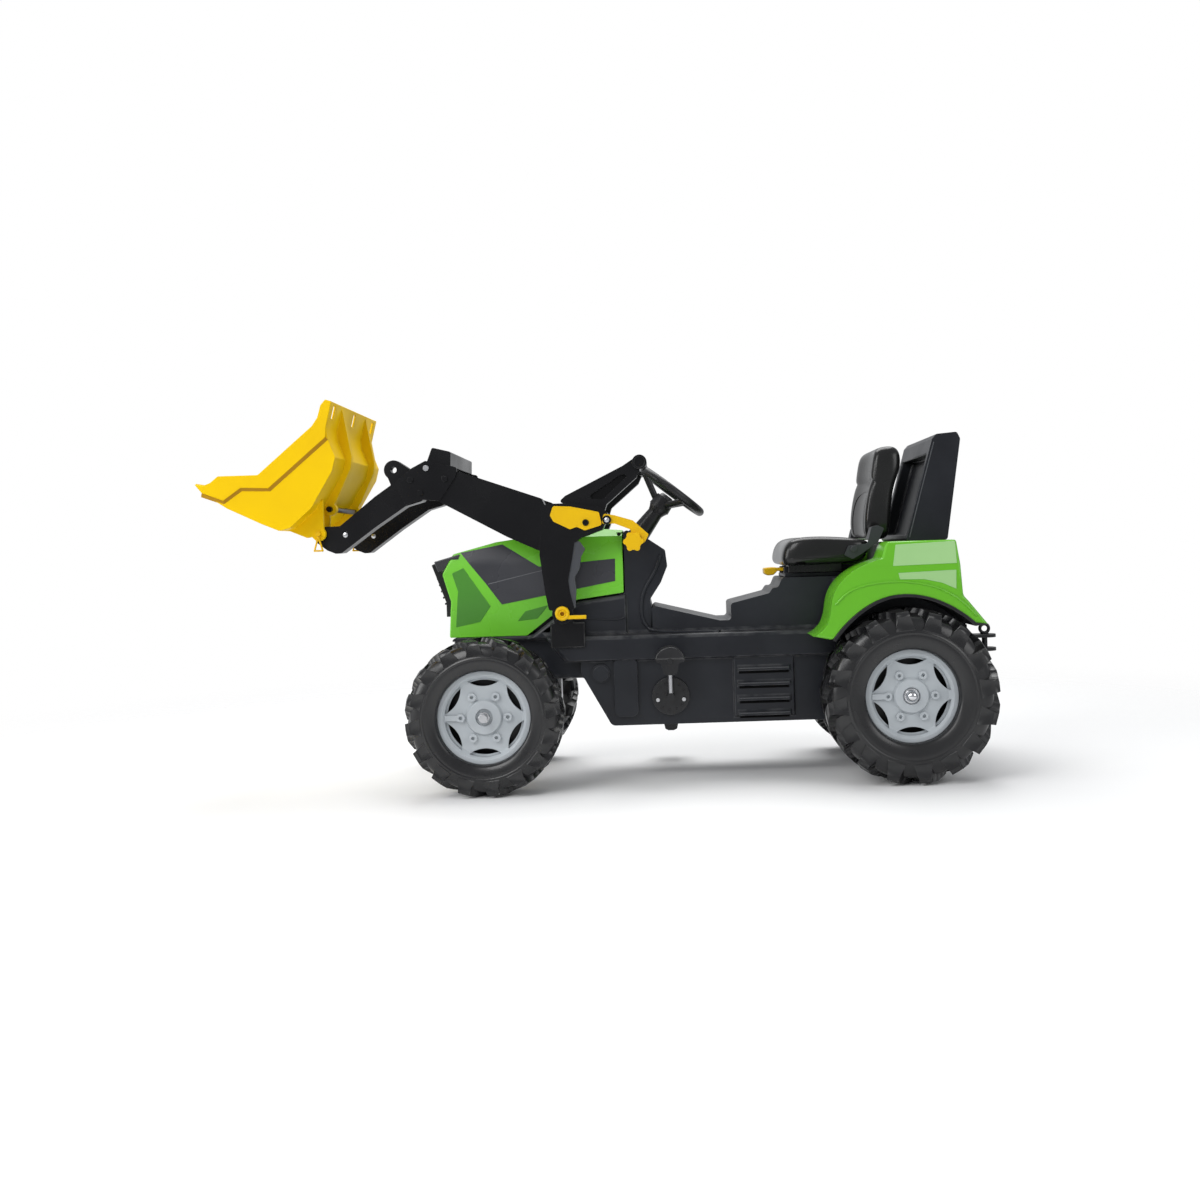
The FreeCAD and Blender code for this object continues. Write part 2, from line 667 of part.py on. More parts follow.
def loop_between(crank_r, rear_r, y0, y1):
    """Solid belt shape round both sprocket centres."""
    span = math.hypot(REAR_AXLE_X - CRANK_X, REAR_TYRE_R - CRANK_Z)
    tilt = math.atan2(REAR_TYRE_R - CRANK_Z, REAR_AXLE_X - CRANK_X)
    lean_out = math.acos((crank_r - rear_r) / span)
    corners = []
    for x, z, radius, turn in ((CRANK_X, CRANK_Z, crank_r, 1), (REAR_AXLE_X, REAR_TYRE_R, rear_r, 1),
                               (REAR_AXLE_X, REAR_TYRE_R, rear_r, -1), (CRANK_X, CRANK_Z, crank_r, -1)):
        angle = tilt + turn * lean_out
        corners.append((x + radius * math.cos(angle), z + radius * math.sin(angle)))
    middle = slab(corners, y0, y1)
    return joined([middle, cross_rod(CRANK_X, CRANK_Z, y0, y1, crank_r),
                   cross_rod(REAR_AXLE_X, REAR_TYRE_R, y0, y1, rear_r)])


def drive_chain():
    half = CHAIN_WIDE / 2
    grow = CHAIN_HIGH / 2
    outer = loop_between(crank_pitch_r + grow, rear_pitch_r + grow, CHAIN_Y - half, CHAIN_Y + half)
    inner = loop_between(crank_pitch_r - grow, rear_pitch_r - grow, CHAIN_Y - half, CHAIN_Y + half)
    ring = outer.cut(inner)
    groove_half = SPROCKET_THICK / 2 + CHAIN_FREE
    tooth_r = ROLLER_R * TOOTH_SHARE + CHAIN_FREE
    groove = loop_between(crank_pitch_r + tooth_r, rear_pitch_r + tooth_r, CHAIN_Y - groove_half,
                          CHAIN_Y + groove_half)
    return ring.cut(groove)


# Crank, its bearings and the pedals
CRANK_ARM_Y = 131.0
CRANK_ARM_R = 5.0
PEDAL_PIN_END_Y = 205.0
PEDAL_PIN_R = 5.0
PEDAL_IN_Y = 142.0
PEDAL_OUT_Y = 202.0
BEARING_R = 39.0
BEARING_PLATE = 7.0
PEDAL_SHARES = [(0.0, 0.58), (0.10, 0.72), (0.50, 1.0), (0.90, 0.72), (1.0, 0.58), (0.96, 0.46),
                (0.80, 0.42),
                (0.72, 0.06), (0.60, 0.0), (0.40, 0.0), (0.28, 0.06), (0.20, 0.42), (0.04, 0.46)]
PEDAL_LONG = 61.0
PEDAL_HIGH = 57.0
PEDAL_PIN_SHARE = 0.50


def crank_shaft():
    """Steel crank: cross shaft and two opposite arms with pedal pins."""
    solids = [cross_rod(CRANK_X, CRANK_Z, -CRANK_ARM_Y - CRANK_ARM_R, CRANK_ARM_Y + CRANK_ARM_R,
                        CRANK_ROD_R)]
    for out in (-1, 1):
        high = CRANK_Z - out * CRANK_REACH
        arm_y = out * CRANK_ARM_Y
        solids.append(rod(V(CRANK_X, arm_y, CRANK_Z), V(CRANK_X, arm_y, high), CRANK_ARM_R))
        solids.append(Part.makeSphere(CRANK_ARM_R, V(CRANK_X, arm_y, high)))
        solids.append(rod(V(CRANK_X, arm_y, high), V(CRANK_X, out * PEDAL_PIN_END_Y, high), PEDAL_PIN_R))
    return joined(solids)


def pedal(out):
    z = CRANK_Z - out * CRANK_REACH
    low = z - PEDAL_HIGH * PEDAL_PIN_SHARE
    ends = sorted((out * PEDAL_IN_Y, out * PEDAL_OUT_Y))
    body = slab(stretch(PEDAL_SHARES, CRANK_X - PEDAL_LONG / 2, CRANK_X + PEDAL_LONG / 2, low,
                        low + PEDAL_HIGH),
                ends[0], ends[1], WALL)
    return body.cut(cross_rod(CRANK_X, z, ends[0], ends[1], PEDAL_PIN_R + RUN_FIT))


SCREW_R = 4.0
SCREW_HIGH = 2.5
SCREW_RING_R = 28.0
SCREW_DEG = 15.0


def crank_bearing():
    """Left bearing plate with its sleeve in the hull wall."""
    plate = cross_rod(CRANK_X, CRANK_Z, -HULL_Y - BEARING_PLATE, -HULL_Y, BEARING_R)
    sleeve = cross_rod(CRANK_X, CRANK_Z, -HULL_Y, -CAVITY_Y, BUSH_R)
    return joined([plate, sleeve]).cut(cross_rod(CRANK_X, CRANK_Z, -BAND_Y, -CAVITY_Y,
                                                 CRANK_ROD_R + RUN_FIT))


def bearing_screws():
    screws = []
    reach = math.radians(SCREW_DEG)
    for side in (-1, 1):
        x = CRANK_X + side * SCREW_RING_R * math.cos(reach)
        z = CRANK_Z - SCREW_RING_R * math.sin(reach)
        face = HULL_Y + BEARING_PLATE
        screws.append(cross_rod(x, z, -face - SCREW_HIGH, -face, SCREW_R))
        screws.append(cross_rod(x, z, face, face + SCREW_HIGH, SCREW_R))
    return Part.makeCompound(screws)


FLANGE = 3.0


def axle_bush():
    sleeve = cross_rod(REAR_AXLE_X, REAR_TYRE_R, -HULL_Y, -CAVITY_Y, BUSH_R)
    flange = cross_rod(REAR_AXLE_X, REAR_TYRE_R, -HULL_Y - FLANGE, -HULL_Y, BUSH_R + FLANGE * 2)
    return joined([sleeve, flange]).cut(
        cross_rod(REAR_AXLE_X, REAR_TYRE_R, -BAND_Y, -CAVITY_Y, REAR_ROD_R + RUN_FIT))


PLUG_X = -27.0
PLUG_Z = 227.0
PLUG_R = 19.0
PLUG_HIGH = 6.0


def hull_plug():
    left = cross_rod(PLUG_X, PLUG_Z, -HULL_Y - PLUG_HIGH, -HULL_Y, PLUG_R)
    cap = cross_rod(PLUG_X, PLUG_Z, -HULL_Y - PLUG_HIGH - FLANGE, -HULL_Y - PLUG_HIGH, PLUG_R - FLANGE)
    return joined([left, cap])


# Hood: green shell with folded sides, hinged at its rear top edge
HOOD_FRONT_X = -355.0
HOOD_TOP_Z = 528.0
HOOD_Y = 95.0
HOOD_SHARES = [(0.03, 0.0), (0.045, 0.35), (0.0, 0.61), (0.06, 0.80), (0.30, 0.905), (0.66, 0.985),
               (0.90, 1.0),
               (1.0, 0.985), (1.0, 0.385), (0.745, 0.33), (0.66, 0.26), (0.46, 0.0)]
HOOD_HALF_SHARES = [(0.94, 0.0), (1.0, 0.40), (0.96, 0.70), (0.80, 0.93), (0.55, 1.0)]
HINGE_X = 18.0
HINGE_SUNK = 12.0
HINGE_Z = HOOD_TOP_Z - HINGE_SUNK
HINGE_PIN_R = 4.0
HINGE_EAR_Y = 50.0
HINGE_EAR_THICK = 6.0
HINGE_EAR_R = 7.0


def hood_block(shrink):
    """Solid hood form, drawn in by the given wall on all outer faces."""
    side = stretch(HOOD_SHARES, HOOD_FRONT_X, HOOD_REAR_X, HOOD_LOW_Z, HOOD_TOP_Z)
    body = slab(side, -HOOD_Y, HOOD_Y)
    high = HOOD_TOP_Z - HOOD_LOW_Z
    half = [(share_y * HOOD_Y, HOOD_LOW_Z + share_z * high) for share_y, share_z in HOOD_HALF_SHARES]
    outline = half + [(-y, z) for y, z in half[::-1]]
    block = body.common(bar(outline, HOOD_FRONT_X, HOOD_REAR_X))
    if shrink == 0:
        return block
    middle = V((HOOD_FRONT_X + HOOD_REAR_X) / 2, 0, (HOOD_LOW_Z + HOOD_TOP_Z) / 2)
    grow = FreeCAD.Matrix()
    grow.scale(1 - 2 * shrink / (HOOD_REAR_X - HOOD_FRONT_X), 1 - shrink / HOOD_Y, 1 - 2 * shrink / high)
    inner = block.copy()
    inner.translate(middle * -1)
    inner = inner.transformGeometry(grow)
    inner.translate(middle)
    return inner


def hood():
    outer = hood_block(0)
    inner = hood_block(WALL)
    under = box(HOOD_FRONT_X + HOOD_Y * HOOD_LIP_SHARE, HOOD_REAR_X, -HOOD_Y + WALL * 2,
                HOOD_Y - WALL * 2,
                HOOD_LOW_Z, HOOD_LOW_Z + HOOD_Y)
    rear_y = HINGE_EAR_Y + HINGE_EAR_THICK + WALL * 3
    rear = box(HOOD_REAR_X - WALL * 3, HOOD_REAR_X, -rear_y, rear_y, HOOD_LOW_Z, HINGE_Z + HINGE_PIN_R)
    shell = outer.cut(inner).cut(under).cut(rear)
    ears = []
    for side in (-1, 1):
        ends = sorted((side * HINGE_EAR_Y, side * (HINGE_EAR_Y + HINGE_EAR_THICK)))
        ears.append(cross_rod(HINGE_X, HINGE_Z, ends[0], ends[1], HINGE_EAR_R))
        ears.append(box(HINGE_X - HINGE_EAR_R, HINGE_X + HINGE_EAR_R, ends[0], ends[1], HINGE_Z,
                        HOOD_TOP_Z - WALL))
    shell = joined([shell] + [ear.common(outer) for ear in ears])
    return shell.cut(cross_rod(HINGE_X, HINGE_Z, -HOOD_Y, HOOD_Y, HINGE_PIN_R + RUN_FIT))


HOOD_LIP_SHARE = 0.35


def hood_hinge():
    """Hinge pin with the two straps that hold it on the dash."""
    solids = [cross_rod(HINGE_X, HINGE_Z, -HINGE_EAR_Y - HINGE_EAR_THICK - WALL,
                        HINGE_EAR_Y + HINGE_EAR_THICK + WALL,
                        HINGE_PIN_R)]
    for side in (-1, 1):
        ends = sorted((side * (HINGE_EAR_Y - AIR), side * (HINGE_EAR_Y - AIR - HINGE_EAR_THICK)))
        solids.append(box(HINGE_X, HOOD_REAR_X + DASH_GAP, ends[0], ends[1], HINGE_Z - HINGE_EAR_R,
                          HINGE_Z))
    return joined(solids)


GRILLE_Y = 62.0
GRILLE_SHARES = [(0.0, 0.96), (0.20, 1.0), (0.36, 0.85), (0.72, 0.68), (1.0, 0.28), (0.96, 0.0),
                 (0.56, 0.0), (0.56, 0.26)]
GRILLE_FRONT_X = -382.0
GRILLE_REAR_X = -330.0
GRILLE_LOW_Z = 352.0
GRILLE_TOP_Z = 467.0


def front_grille():
    block = slab(stretch(GRILLE_SHARES, GRILLE_FRONT_X, GRILLE_REAR_X, GRILLE_LOW_Z, GRILLE_TOP_Z),
                 -GRILLE_Y, GRILLE_Y)
    return block.cut(hood_block(0))


LIGHT_SHARES = [(0.0, 0.60), (1.0, 1.0), (0.90, 0.16), (0.14, 0.0)]
LIGHT_FRONT_X = -372.0
LIGHT_REAR_X = -318.0
LIGHT_LOW_Z = 448.0
LIGHT_TOP_Z = 484.0
LIGHT_OUT_Y = 88.0


def headlight():
    block = slab(stretch(LIGHT_SHARES, LIGHT_FRONT_X, LIGHT_REAR_X, LIGHT_LOW_Z, LIGHT_TOP_Z),
                 -LIGHT_OUT_Y, -GRILLE_Y)
    return block.cut(hood_block(0))


# Loader: brackets on the hull, towers, two arm sections, elbow plates and cross beam
BRACKET_FRONT_X = -128.0
BRACKET_REAR_X = -56.0
BRACKET_IN_Y = 112.0
BRACKET_OUT_Y = 131.0
BRACKET_LOW_Z = 283.0
BRACKET_EYE_R = 20.0
PIVOT_PIN_R = 7.0
PIN_END_Y = 162.0
TOWER_EYE_R = 22.0
TOWER_IN_Y = 132.0


def loader_bracket():
    """Left bracket: block bolted on the hull band with an eye for the lock pin."""
    block = box(BRACKET_FRONT_X, BRACKET_REAR_X, -BRACKET_OUT_Y, -CHEEK_Y, BAND_TOP_Z,
                PIVOT_Z - BRACKET_EYE_R)
    skirt = box(BRACKET_FRONT_X, BRACKET_REAR_X, -BRACKET_OUT_Y, -BAND_Y, BRACKET_LOW_Z, BAND_TOP_Z)
    neck = box(PIVOT_X - BRACKET_EYE_R, PIVOT_X + BRACKET_EYE_R, -BRACKET_OUT_Y, -BRACKET_IN_Y,
               BAND_TOP_Z, PIVOT_Z)
    eye = cross_rod(PIVOT_X, PIVOT_Z, -BRACKET_OUT_Y, -BRACKET_IN_Y, BRACKET_EYE_R)
    whole = joined([block, skirt, neck, eye])
    return whole.cut(cross_rod(PIVOT_X, PIVOT_Z, -BRACKET_OUT_Y, -BRACKET_IN_Y, PIVOT_PIN_R))


RING_R = 11.0
RING_TUBE_R = 4.0
TAIL_LONG = 38.0
TAIL_HALF = 4.0
LOCK_SINK_R = 4.5
LOCK_SINK_DEEP = 12.0


def lock_pin():
    """Left yellow lock pin: shank, pull ring and a flat tail."""
    shank = cross_rod(PIVOT_X, PIVOT_Z, -PIN_END_Y, -BRACKET_IN_Y, PIVOT_PIN_R)
    head_y = -PIN_END_Y + RING_TUBE_R
    ring = Part.makeTorus(RING_R, RING_TUBE_R, V(PIVOT_X, head_y, PIVOT_Z), SIDE)
    tail = box(PIVOT_X + RING_R, PIVOT_X + RING_R + TAIL_LONG, head_y - RING_TUBE_R / 2,
               head_y + RING_TUBE_R / 2,
               PIVOT_Z - TAIL_HALF * 3, PIVOT_Z - TAIL_HALF)
    web = box(PIVOT_X - RING_R, PIVOT_X + RING_R, head_y - RING_TUBE_R / 2, head_y + RING_TUBE_R / 2,
              PIVOT_Z - RING_R, PIVOT_Z + RING_R)
    sink = cross_rod(PIVOT_X, PIVOT_Z, -PIN_END_Y, -PIN_END_Y + LOCK_SINK_DEEP, LOCK_SINK_R)
    return joined([shank, ring, web, tail]).cut(sink)


TOWER_FRONT_X = -144.0
TOWER_REAR_X = -1.0
TOWER_TOP_Z = 582.0
TOWER_LEG_SHARES = [(0.02, 0.70), (0.0, 0.537), (0.07, 0.172), (0.113, 0.03), (0.48, 0.03), (0.42, 0.189),
                    (0.40, 0.30), (0.47, 0.515), (0.52, 0.70)]
TOWER_HEAD_SHARES = [(0.0, 0.54), (0.06, 0.975), (0.13, 1.0), (0.44, 1.0), (0.90, 0.955), (1.0, 0.90),
                     (0.965, 0.815),
                     (0.92, 0.75), (0.60, 0.68), (0.535, 0.648)]
TOWER_ROUND = 5.0


def tower():
    """Left tower: thin leg over the bracket eye, full-width head for the arm and levers."""
    leg = slab(stretch(TOWER_LEG_SHARES, TOWER_FRONT_X, TOWER_REAR_X, PIVOT_Z, TOWER_TOP_Z), -ARM_OUT_Y,
               -TOWER_IN_Y, TOWER_ROUND)
    eye = cross_rod(PIVOT_X, PIVOT_Z, -ARM_OUT_Y, -TOWER_IN_Y, TOWER_EYE_R)
    head = slab(stretch(TOWER_HEAD_SHARES, TOWER_FRONT_X, TOWER_REAR_X, PIVOT_Z, TOWER_TOP_Z), -ARM_OUT_Y,
                -ARM_IN_Y, TOWER_ROUND)
    whole = joined([leg, eye, head])
    return whole.cut(cross_rod(PIVOT_X, PIVOT_Z, -ARM_OUT_Y, -TOWER_IN_Y, PIVOT_PIN_R + RUN_FIT))


# Arm sections, drawn as shares of the box from the arm tip to the tower
ARM_FRONT_X = -603.0
ARM_REAR_X = -117.0
ARM_LOW_Z = 486.0
ARM_TOP_Z = 678.0
REAR_ARM_SHARES = [(0.47, 0.60), (0.53, 0.555), (0.81, 0.16), (0.945, 0.0), (0.98, 0.02), (0.98, 0.45),
                   (0.96, 0.56),
                   (0.62, 0.87), (0.50, 0.90)]
FRONT_ARM_SHARES = [(0.014, 0.328), (0.0, 0.172), (0.05, 0.073), (0.085, 0.036), (0.11, 0.042),
                    (0.253, 0.302),
                    (0.385, 0.521), (0.46, 0.573), (0.46, 0.90), (0.418, 0.90), (0.33, 0.76),
                    (0.257, 0.635),
                    (0.105, 0.33)]
ELBOW_SHARES = [(0.385, 0.53), (0.46, 0.585), (0.53, 0.565), (0.60, 0.82), (0.61, 0.92), (0.475, 1.0),
                (0.418, 0.927),
                (0.345, 0.78)]
ARM_ROUND = 6.0
ELBOW_OUT = 4.0
ARM_BORE_R = 5.0


def arm_points(shares):
    return stretch(shares, ARM_FRONT_X, ARM_REAR_X, ARM_LOW_Z, ARM_TOP_Z)


def rear_arm():
    section = slab(arm_points(REAR_ARM_SHARES), -ARM_OUT_Y, -ARM_IN_Y, ARM_ROUND)
    return section.cut(tower())


EAR_X = -440.0
EAR_Z = 662.0
EAR_R = 20.0
EAR_HOLE_R = 6.5
EAR_NECK_SHARES = [(0.30, 0.90), (0.33, 0.70), (0.43, 0.88), (0.36, 1.0)]


def front_arm():
    """Left front arm section with the eye lug that stands up before the elbow."""
    section = slab(arm_points(FRONT_ARM_SHARES), -ARM_OUT_Y, -ARM_IN_Y, ARM_ROUND)
    ear_out = -ARM_OUT_Y + ELBOW_OUT * 2
    ear_in = -ARM_IN_Y - ELBOW_OUT * 2
    neck = slab(arm_points(EAR_NECK_SHARES), ear_out, ear_in)
    eye = cross_rod(EAR_X, EAR_Z, ear_out, ear_in, EAR_R)
    section = joined([section, neck, eye]).cut(rear_arm())
    section = section.cut(cross_rod(EAR_X, EAR_Z, -ARM_OUT_Y, -ARM_IN_Y, EAR_HOLE_R))
    return section.cut(cross_rod(BUCKET_PIN_X, BUCKET_PIN_Z, -ARM_OUT_Y, -ARM_IN_Y, ARM_BORE_R + RUN_FIT))


def elbow_plate():
    """Left elbow plate bolted outside both arm sections."""
    return slab(arm_points(ELBOW_SHARES), -ARM_OUT_Y - ELBOW_OUT, -ARM_OUT_Y, ARM_ROUND)

BEAM_SHARES = [(0.0, 0.20), (0.25, 1.0), (1.0, 0.76), (0.98, 0.0), (0.40, 0.0)]
BEAM_FRONT_X = -371.0
BEAM_REAR_X = -320.0
BEAM_LOW_Z = 664.0
BEAM_TOP_Z = 705.0


def cross_beam():
    """Hollow beam that ties both arms together above the elbows."""
    points = stretch(BEAM_SHARES, BEAM_FRONT_X, BEAM_REAR_X, BEAM_LOW_Z, BEAM_TOP_Z)
    beam = slab(points, -ARM_OUT_Y, ARM_OUT_Y, WALL)
    for piece in (front_arm(), rear_arm()):
        beam = beam.cut(piece).cut(mirrored(piece))
    return beam


ELBOW_BOLT_SHARES = [(0.478, 0.92), (0.45, 0.66), (0.41, 0.80), (0.555, 0.80)]
BOLT_R = 6.0
BOLT_HIGH = 4.0


def bolt_heads(points, y):
    """Pairs of round bolt heads, one on each side of the tractor."""
    heads = []
    for x, z in points:
        heads.append(cross_rod(x, z, -y - BOLT_HIGH, -y, BOLT_R))
        heads.append(cross_rod(x, z, y, y + BOLT_HIGH, BOLT_R))
    return Part.makeCompound(heads)


# Levers and covers on the towers
PLATE_FRONT_X = -120.0
PLATE_REAR_X = -14.0
PLATE_LOW_Z = 525.0
PLATE_TOP_Z = 577.0
PLATE_SHARES = [(0.066, 1.0), (0.0, 0.63), (0.066, 0.385), (0.38, 0.06), (0.51, 0.15), (0.67, 0.0),
                (1.0, 0.19),
                (0.95, 0.71), (0.40, 0.96)]
PLATE_THICK = 4.0
PLATE_ROUND = 5.0


def cover_plate():
    return slab(stretch(PLATE_SHARES, PLATE_FRONT_X, PLATE_REAR_X, PLATE_LOW_Z, PLATE_TOP_Z),
                -ARM_OUT_Y - PLATE_THICK, -ARM_OUT_Y, PLATE_ROUND)


LEVER_FRONT_X = -103.0
LEVER_REAR_X = 82.0
LEVER_LOW_Z = 557.0
LEVER_TOP_Z = 676.0
LEVER_SHARES = [(0.0, 0.23), (0.08, 0.34), (0.73, 0.83), (0.86, 0.96), (0.95, 0.86), (0.88, 0.62),
                (0.54, 0.17), (0.51, 0.03),
                (0.20, 0.18)]
LEVER_HOLE_SHARES = [(0.30, 0.28), (0.70, 0.68), (0.80, 0.68), (0.50, 0.26)]
LEVER_OUT_Y = 142.0
LEVER_IN_Y = 116.0
LEVER_WEB = 6.0
GRIP_X = 67.0
GRIP_Z = 662.0
GRIP_R = 15.0
GRIP_OUT_Y = 156.0
GRIP_IN_Y = 74.0


def lift_lever():
    """Left lift lever: open frame standing on the tower head, with a cross grip bore."""
    points = stretch(LEVER_SHARES, LEVER_FRONT_X, LEVER_REAR_X, LEVER_LOW_Z, LEVER_TOP_Z)
    body = slab(points, -LEVER_OUT_Y, -LEVER_IN_Y, ARM_ROUND)
    window = slab(stretch(LEVER_HOLE_SHARES, LEVER_FRONT_X, LEVER_REAR_X, LEVER_LOW_Z, LEVER_TOP_Z),
                  -LEVER_OUT_Y, -LEVER_IN_Y - LEVER_WEB, ARM_ROUND)
    body = body.cut(window).cut(tower())
    return body.cut(cross_rod(GRIP_X, GRIP_Z, -LEVER_OUT_Y, -LEVER_IN_Y, GRIP_R))


def lift_grip():
    grip = cross_rod(GRIP_X, GRIP_Z, -GRIP_OUT_Y, -GRIP_IN_Y, GRIP_R)
    return grip.cut(cross_rod(GRIP_X, GRIP_Z, -GRIP_OUT_Y, -GRIP_OUT_Y + WALL, GRIP_R - WALL))


TILT_X = -3.0
TILT_Z = 545.0
TILT_PIN_R = 5.0
TILT_OUT_Y = 160.0
TILT_IN_Y = 152.6
KNOB_X = 50.0
KNOB_Z = 499.0
KNOB_R = 21.0
KNOB_LOBES = 6
KNOB_LOBE_R = 6.0
KNOB_OUT_Y = 168.0
TILT_SHARES = [(0.0, 0.74), (0.05, 1.0), (0.28, 0.95), (0.67, 0.80), (1.0, 0.42), (0.90, 0.20),
               (0.60, 0.30), (0.62, 0.56),
               (0.28, 0.73)]
TILT_FRONT_X = -14.0
TILT_REAR_X = 82.0
TILT_LOW_Z = 480.0
TILT_TOP_Z = 558.0


def tilt_lever():
    """Yellow lever with a lobed knob, on the left tower only, that tips the bucket."""
    points = stretch(TILT_SHARES, TILT_FRONT_X, TILT_REAR_X, TILT_LOW_Z, TILT_TOP_Z)
    solids = [slab(points, -TILT_OUT_Y, -TILT_IN_Y, WALL)]
    solids.append(cross_rod(KNOB_X, KNOB_Z, -KNOB_OUT_Y, -TILT_IN_Y, KNOB_R - WALL))
    for i in range(KNOB_LOBES):
        angle = 2 * math.pi * i / KNOB_LOBES
        reach = KNOB_R - KNOB_LOBE_R
        solids.append(cross_rod(KNOB_X + reach * math.cos(angle), KNOB_Z + reach * math.sin(angle),
                                -KNOB_OUT_Y, -TILT_IN_Y, KNOB_LOBE_R))
    return joined(solids).cut(cross_rod(TILT_X, TILT_Z, -TILT_OUT_Y, -TILT_IN_Y, TILT_PIN_R + RUN_FIT))


def tilt_bolt():
    """Silver bolt through the tilt lever into the tower head."""
    shank = cross_rod(TILT_X, TILT_Z, -TILT_OUT_Y - AIR, -ARM_OUT_Y, TILT_PIN_R)
    head = cross_rod(TILT_X, TILT_Z, -TILT_OUT_Y - AIR - BOLT_HIGH, -TILT_OUT_Y - AIR, TILT_PIN_R + WALL)
    collar = cross_rod(TILT_X, TILT_Z, -TILT_IN_Y + AIR, -ARM_OUT_Y, TILT_PIN_R + WALL)
    return joined([shank, head, collar])


# Bucket: yellow tub with side walls, two back ribs, lugs and a lip
BUCKET_FRONT_X = -828.0
BUCKET_REAR_X = -543.0
BUCKET_LOW_Z = 527.0
BUCKET_TOP_Z = 804.0
BUCKET_BACK_SHARES = [(0.0, 0.41), (0.05, 0.345), (0.22, 0.23), (0.46, 0.11), (0.585, 0.055),
                      (0.66, 0.075), (0.815, 0.215),
                      (0.97, 0.48), (0.995, 0.58), (0.945, 0.72), (0.94, 0.80), (0.985, 0.985)]
BUCKET_RIM_SHARES = [(0.94, 1.0), (0.905, 0.96), (0.88, 0.87), (0.84, 0.81), (0.446, 0.466),
                     (0.165, 0.466), (0.11, 0.42),
                     (0.06, 0.40)]
BUCKET_BAND_SHARES = [(0.0, 0.41), (0.06, 0.40), (0.11, 0.42), (0.165, 0.466), (0.446, 0.466),
                      (0.84, 0.81), (0.88, 0.87),
                      (0.905, 0.96), (0.94, 1.0), (0.985, 0.985), (0.94, 0.80), (0.935, 0.725),
                      (0.52, 0.365),
                      (0.325, 0.375), (0.20, 0.285), (0.05, 0.345)]
BAND_PROUD = 4.0
RIB_Y = 105.0
RIB_HALF = 9.0
RIB_SHARES = [(0.98, 0.97), (1.04, 0.60), (1.03, 0.52), (0.93, 0.30), (0.87, 0.19), (0.81, 0.225),
              (0.96, 0.49),
              (0.985, 0.58), (0.935, 0.72), (0.93, 0.80)]
SLOT_Y = 170.0
SLOT_HALF_Y = 8.0
SLOT_LOW_SHARE = 0.87
SLOT_TOP_SHARE = 0.96
LUG_R = 14.0
LUG_WIDE = 10.0
LUG_GAP = 1.0
LUG_NECK_SHARES = [(0.60, 0.062), (0.74, 0.0), (0.86, 0.02), (0.86, 0.285), (0.81, 0.22), (0.66, 0.085)]
CROSS_X = -580.0
CROSS_Z = 586.0
CROSS_R = 6.0
CROSS_LUG_R = 13.0


def bucket_points(shares):
    return stretch(shares, BUCKET_FRONT_X, BUCKET_REAR_X, BUCKET_LOW_Z, BUCKET_TOP_Z)


def thick_path(points, thickness):
    """Outline of a bent sheet: the path and the same path moved to its left."""
    moved = []
    for i in range(len(points)):
        here = points[i]
        last = points[max(i - 1, 0)]
        following = points[min(i + 1, len(points) - 1)]
        run_x = following[0] - last[0]
        run_z = following[1] - last[1]
        run = math.hypot(run_x, run_z)
        moved.append((here[0] - run_z / run * thickness, here[1] + run_x / run * thickness))
    return points + moved[::-1]


def bucket():
    back = bucket_points(BUCKET_BACK_SHARES)
    rim_line = bucket_points(BUCKET_RIM_SHARES)
    solids = [slab(thick_path(back, WALL), -BUCKET_HALF_Y, BUCKET_HALF_Y)]
    sides = slab(back + rim_line, -BUCKET_HALF_Y, -BUCKET_HALF_Y + WALL)
    solids += [sides, mirrored(sides)]
    band = slab(bucket_points(BUCKET_BAND_SHARES), -BUCKET_HALF_Y - BAND_PROUD, -BUCKET_HALF_Y + WALL / 2)
    solids += [band, mirrored(band)]
    rib = slab(bucket_points(RIB_SHARES), RIB_Y - RIB_HALF, RIB_Y + RIB_HALF)
    cross_eye = cross_rod(CROSS_X, CROSS_Z, RIB_Y - RIB_HALF, RIB_Y + RIB_HALF, CROSS_LUG_R)
    solids += [rib, mirrored(rib), cross_eye, mirrored(cross_eye)]
    for inner in (ARM_OUT_Y + LUG_GAP, ARM_IN_Y - LUG_GAP - LUG_WIDE):
        lug = cross_rod(BUCKET_PIN_X, BUCKET_PIN_Z, inner, inner + LUG_WIDE, LUG_R)
        neck = slab(bucket_points(LUG_NECK_SHARES), inner, inner + LUG_WIDE)
        solids += [lug, neck, mirrored(lug), mirrored(neck)]
    tub = joined(solids)
    tub = tub.cut(cross_rod(BUCKET_PIN_X, BUCKET_PIN_Z, -BUCKET_HALF_Y, BUCKET_HALF_Y, ARM_BORE_R))
    tub = tub.cut(cross_rod(CROSS_X, CROSS_Z, -RIB_Y - RIB_HALF, RIB_Y + RIB_HALF, CROSS_R))
    slot_low, slot_high = bucket_points([(0, SLOT_LOW_SHARE), (1, SLOT_TOP_SHARE)])
    for y in (-SLOT_Y, 0, SLOT_Y):
        tub = tub.cut(box(slot_low[0] + BUCKET_HALF_Y, slot_high[0] + WALL, y - SLOT_HALF_Y,
                          y + SLOT_HALF_Y,
                          slot_low[1], slot_high[1]))
    return tub


def bucket_pin():
    """Left steel pin through bucket lugs and arm tip."""
    inner = ARM_IN_Y - LUG_GAP - LUG_WIDE - WALL
    outer = ARM_OUT_Y + LUG_GAP + LUG_WIDE + WALL * 2
    return cross_rod(BUCKET_PIN_X, BUCKET_PIN_Z, -outer, -inner, ARM_BORE_R)


CLIP_WIRE_R = 1.8
CLIP_LONG = 34.0


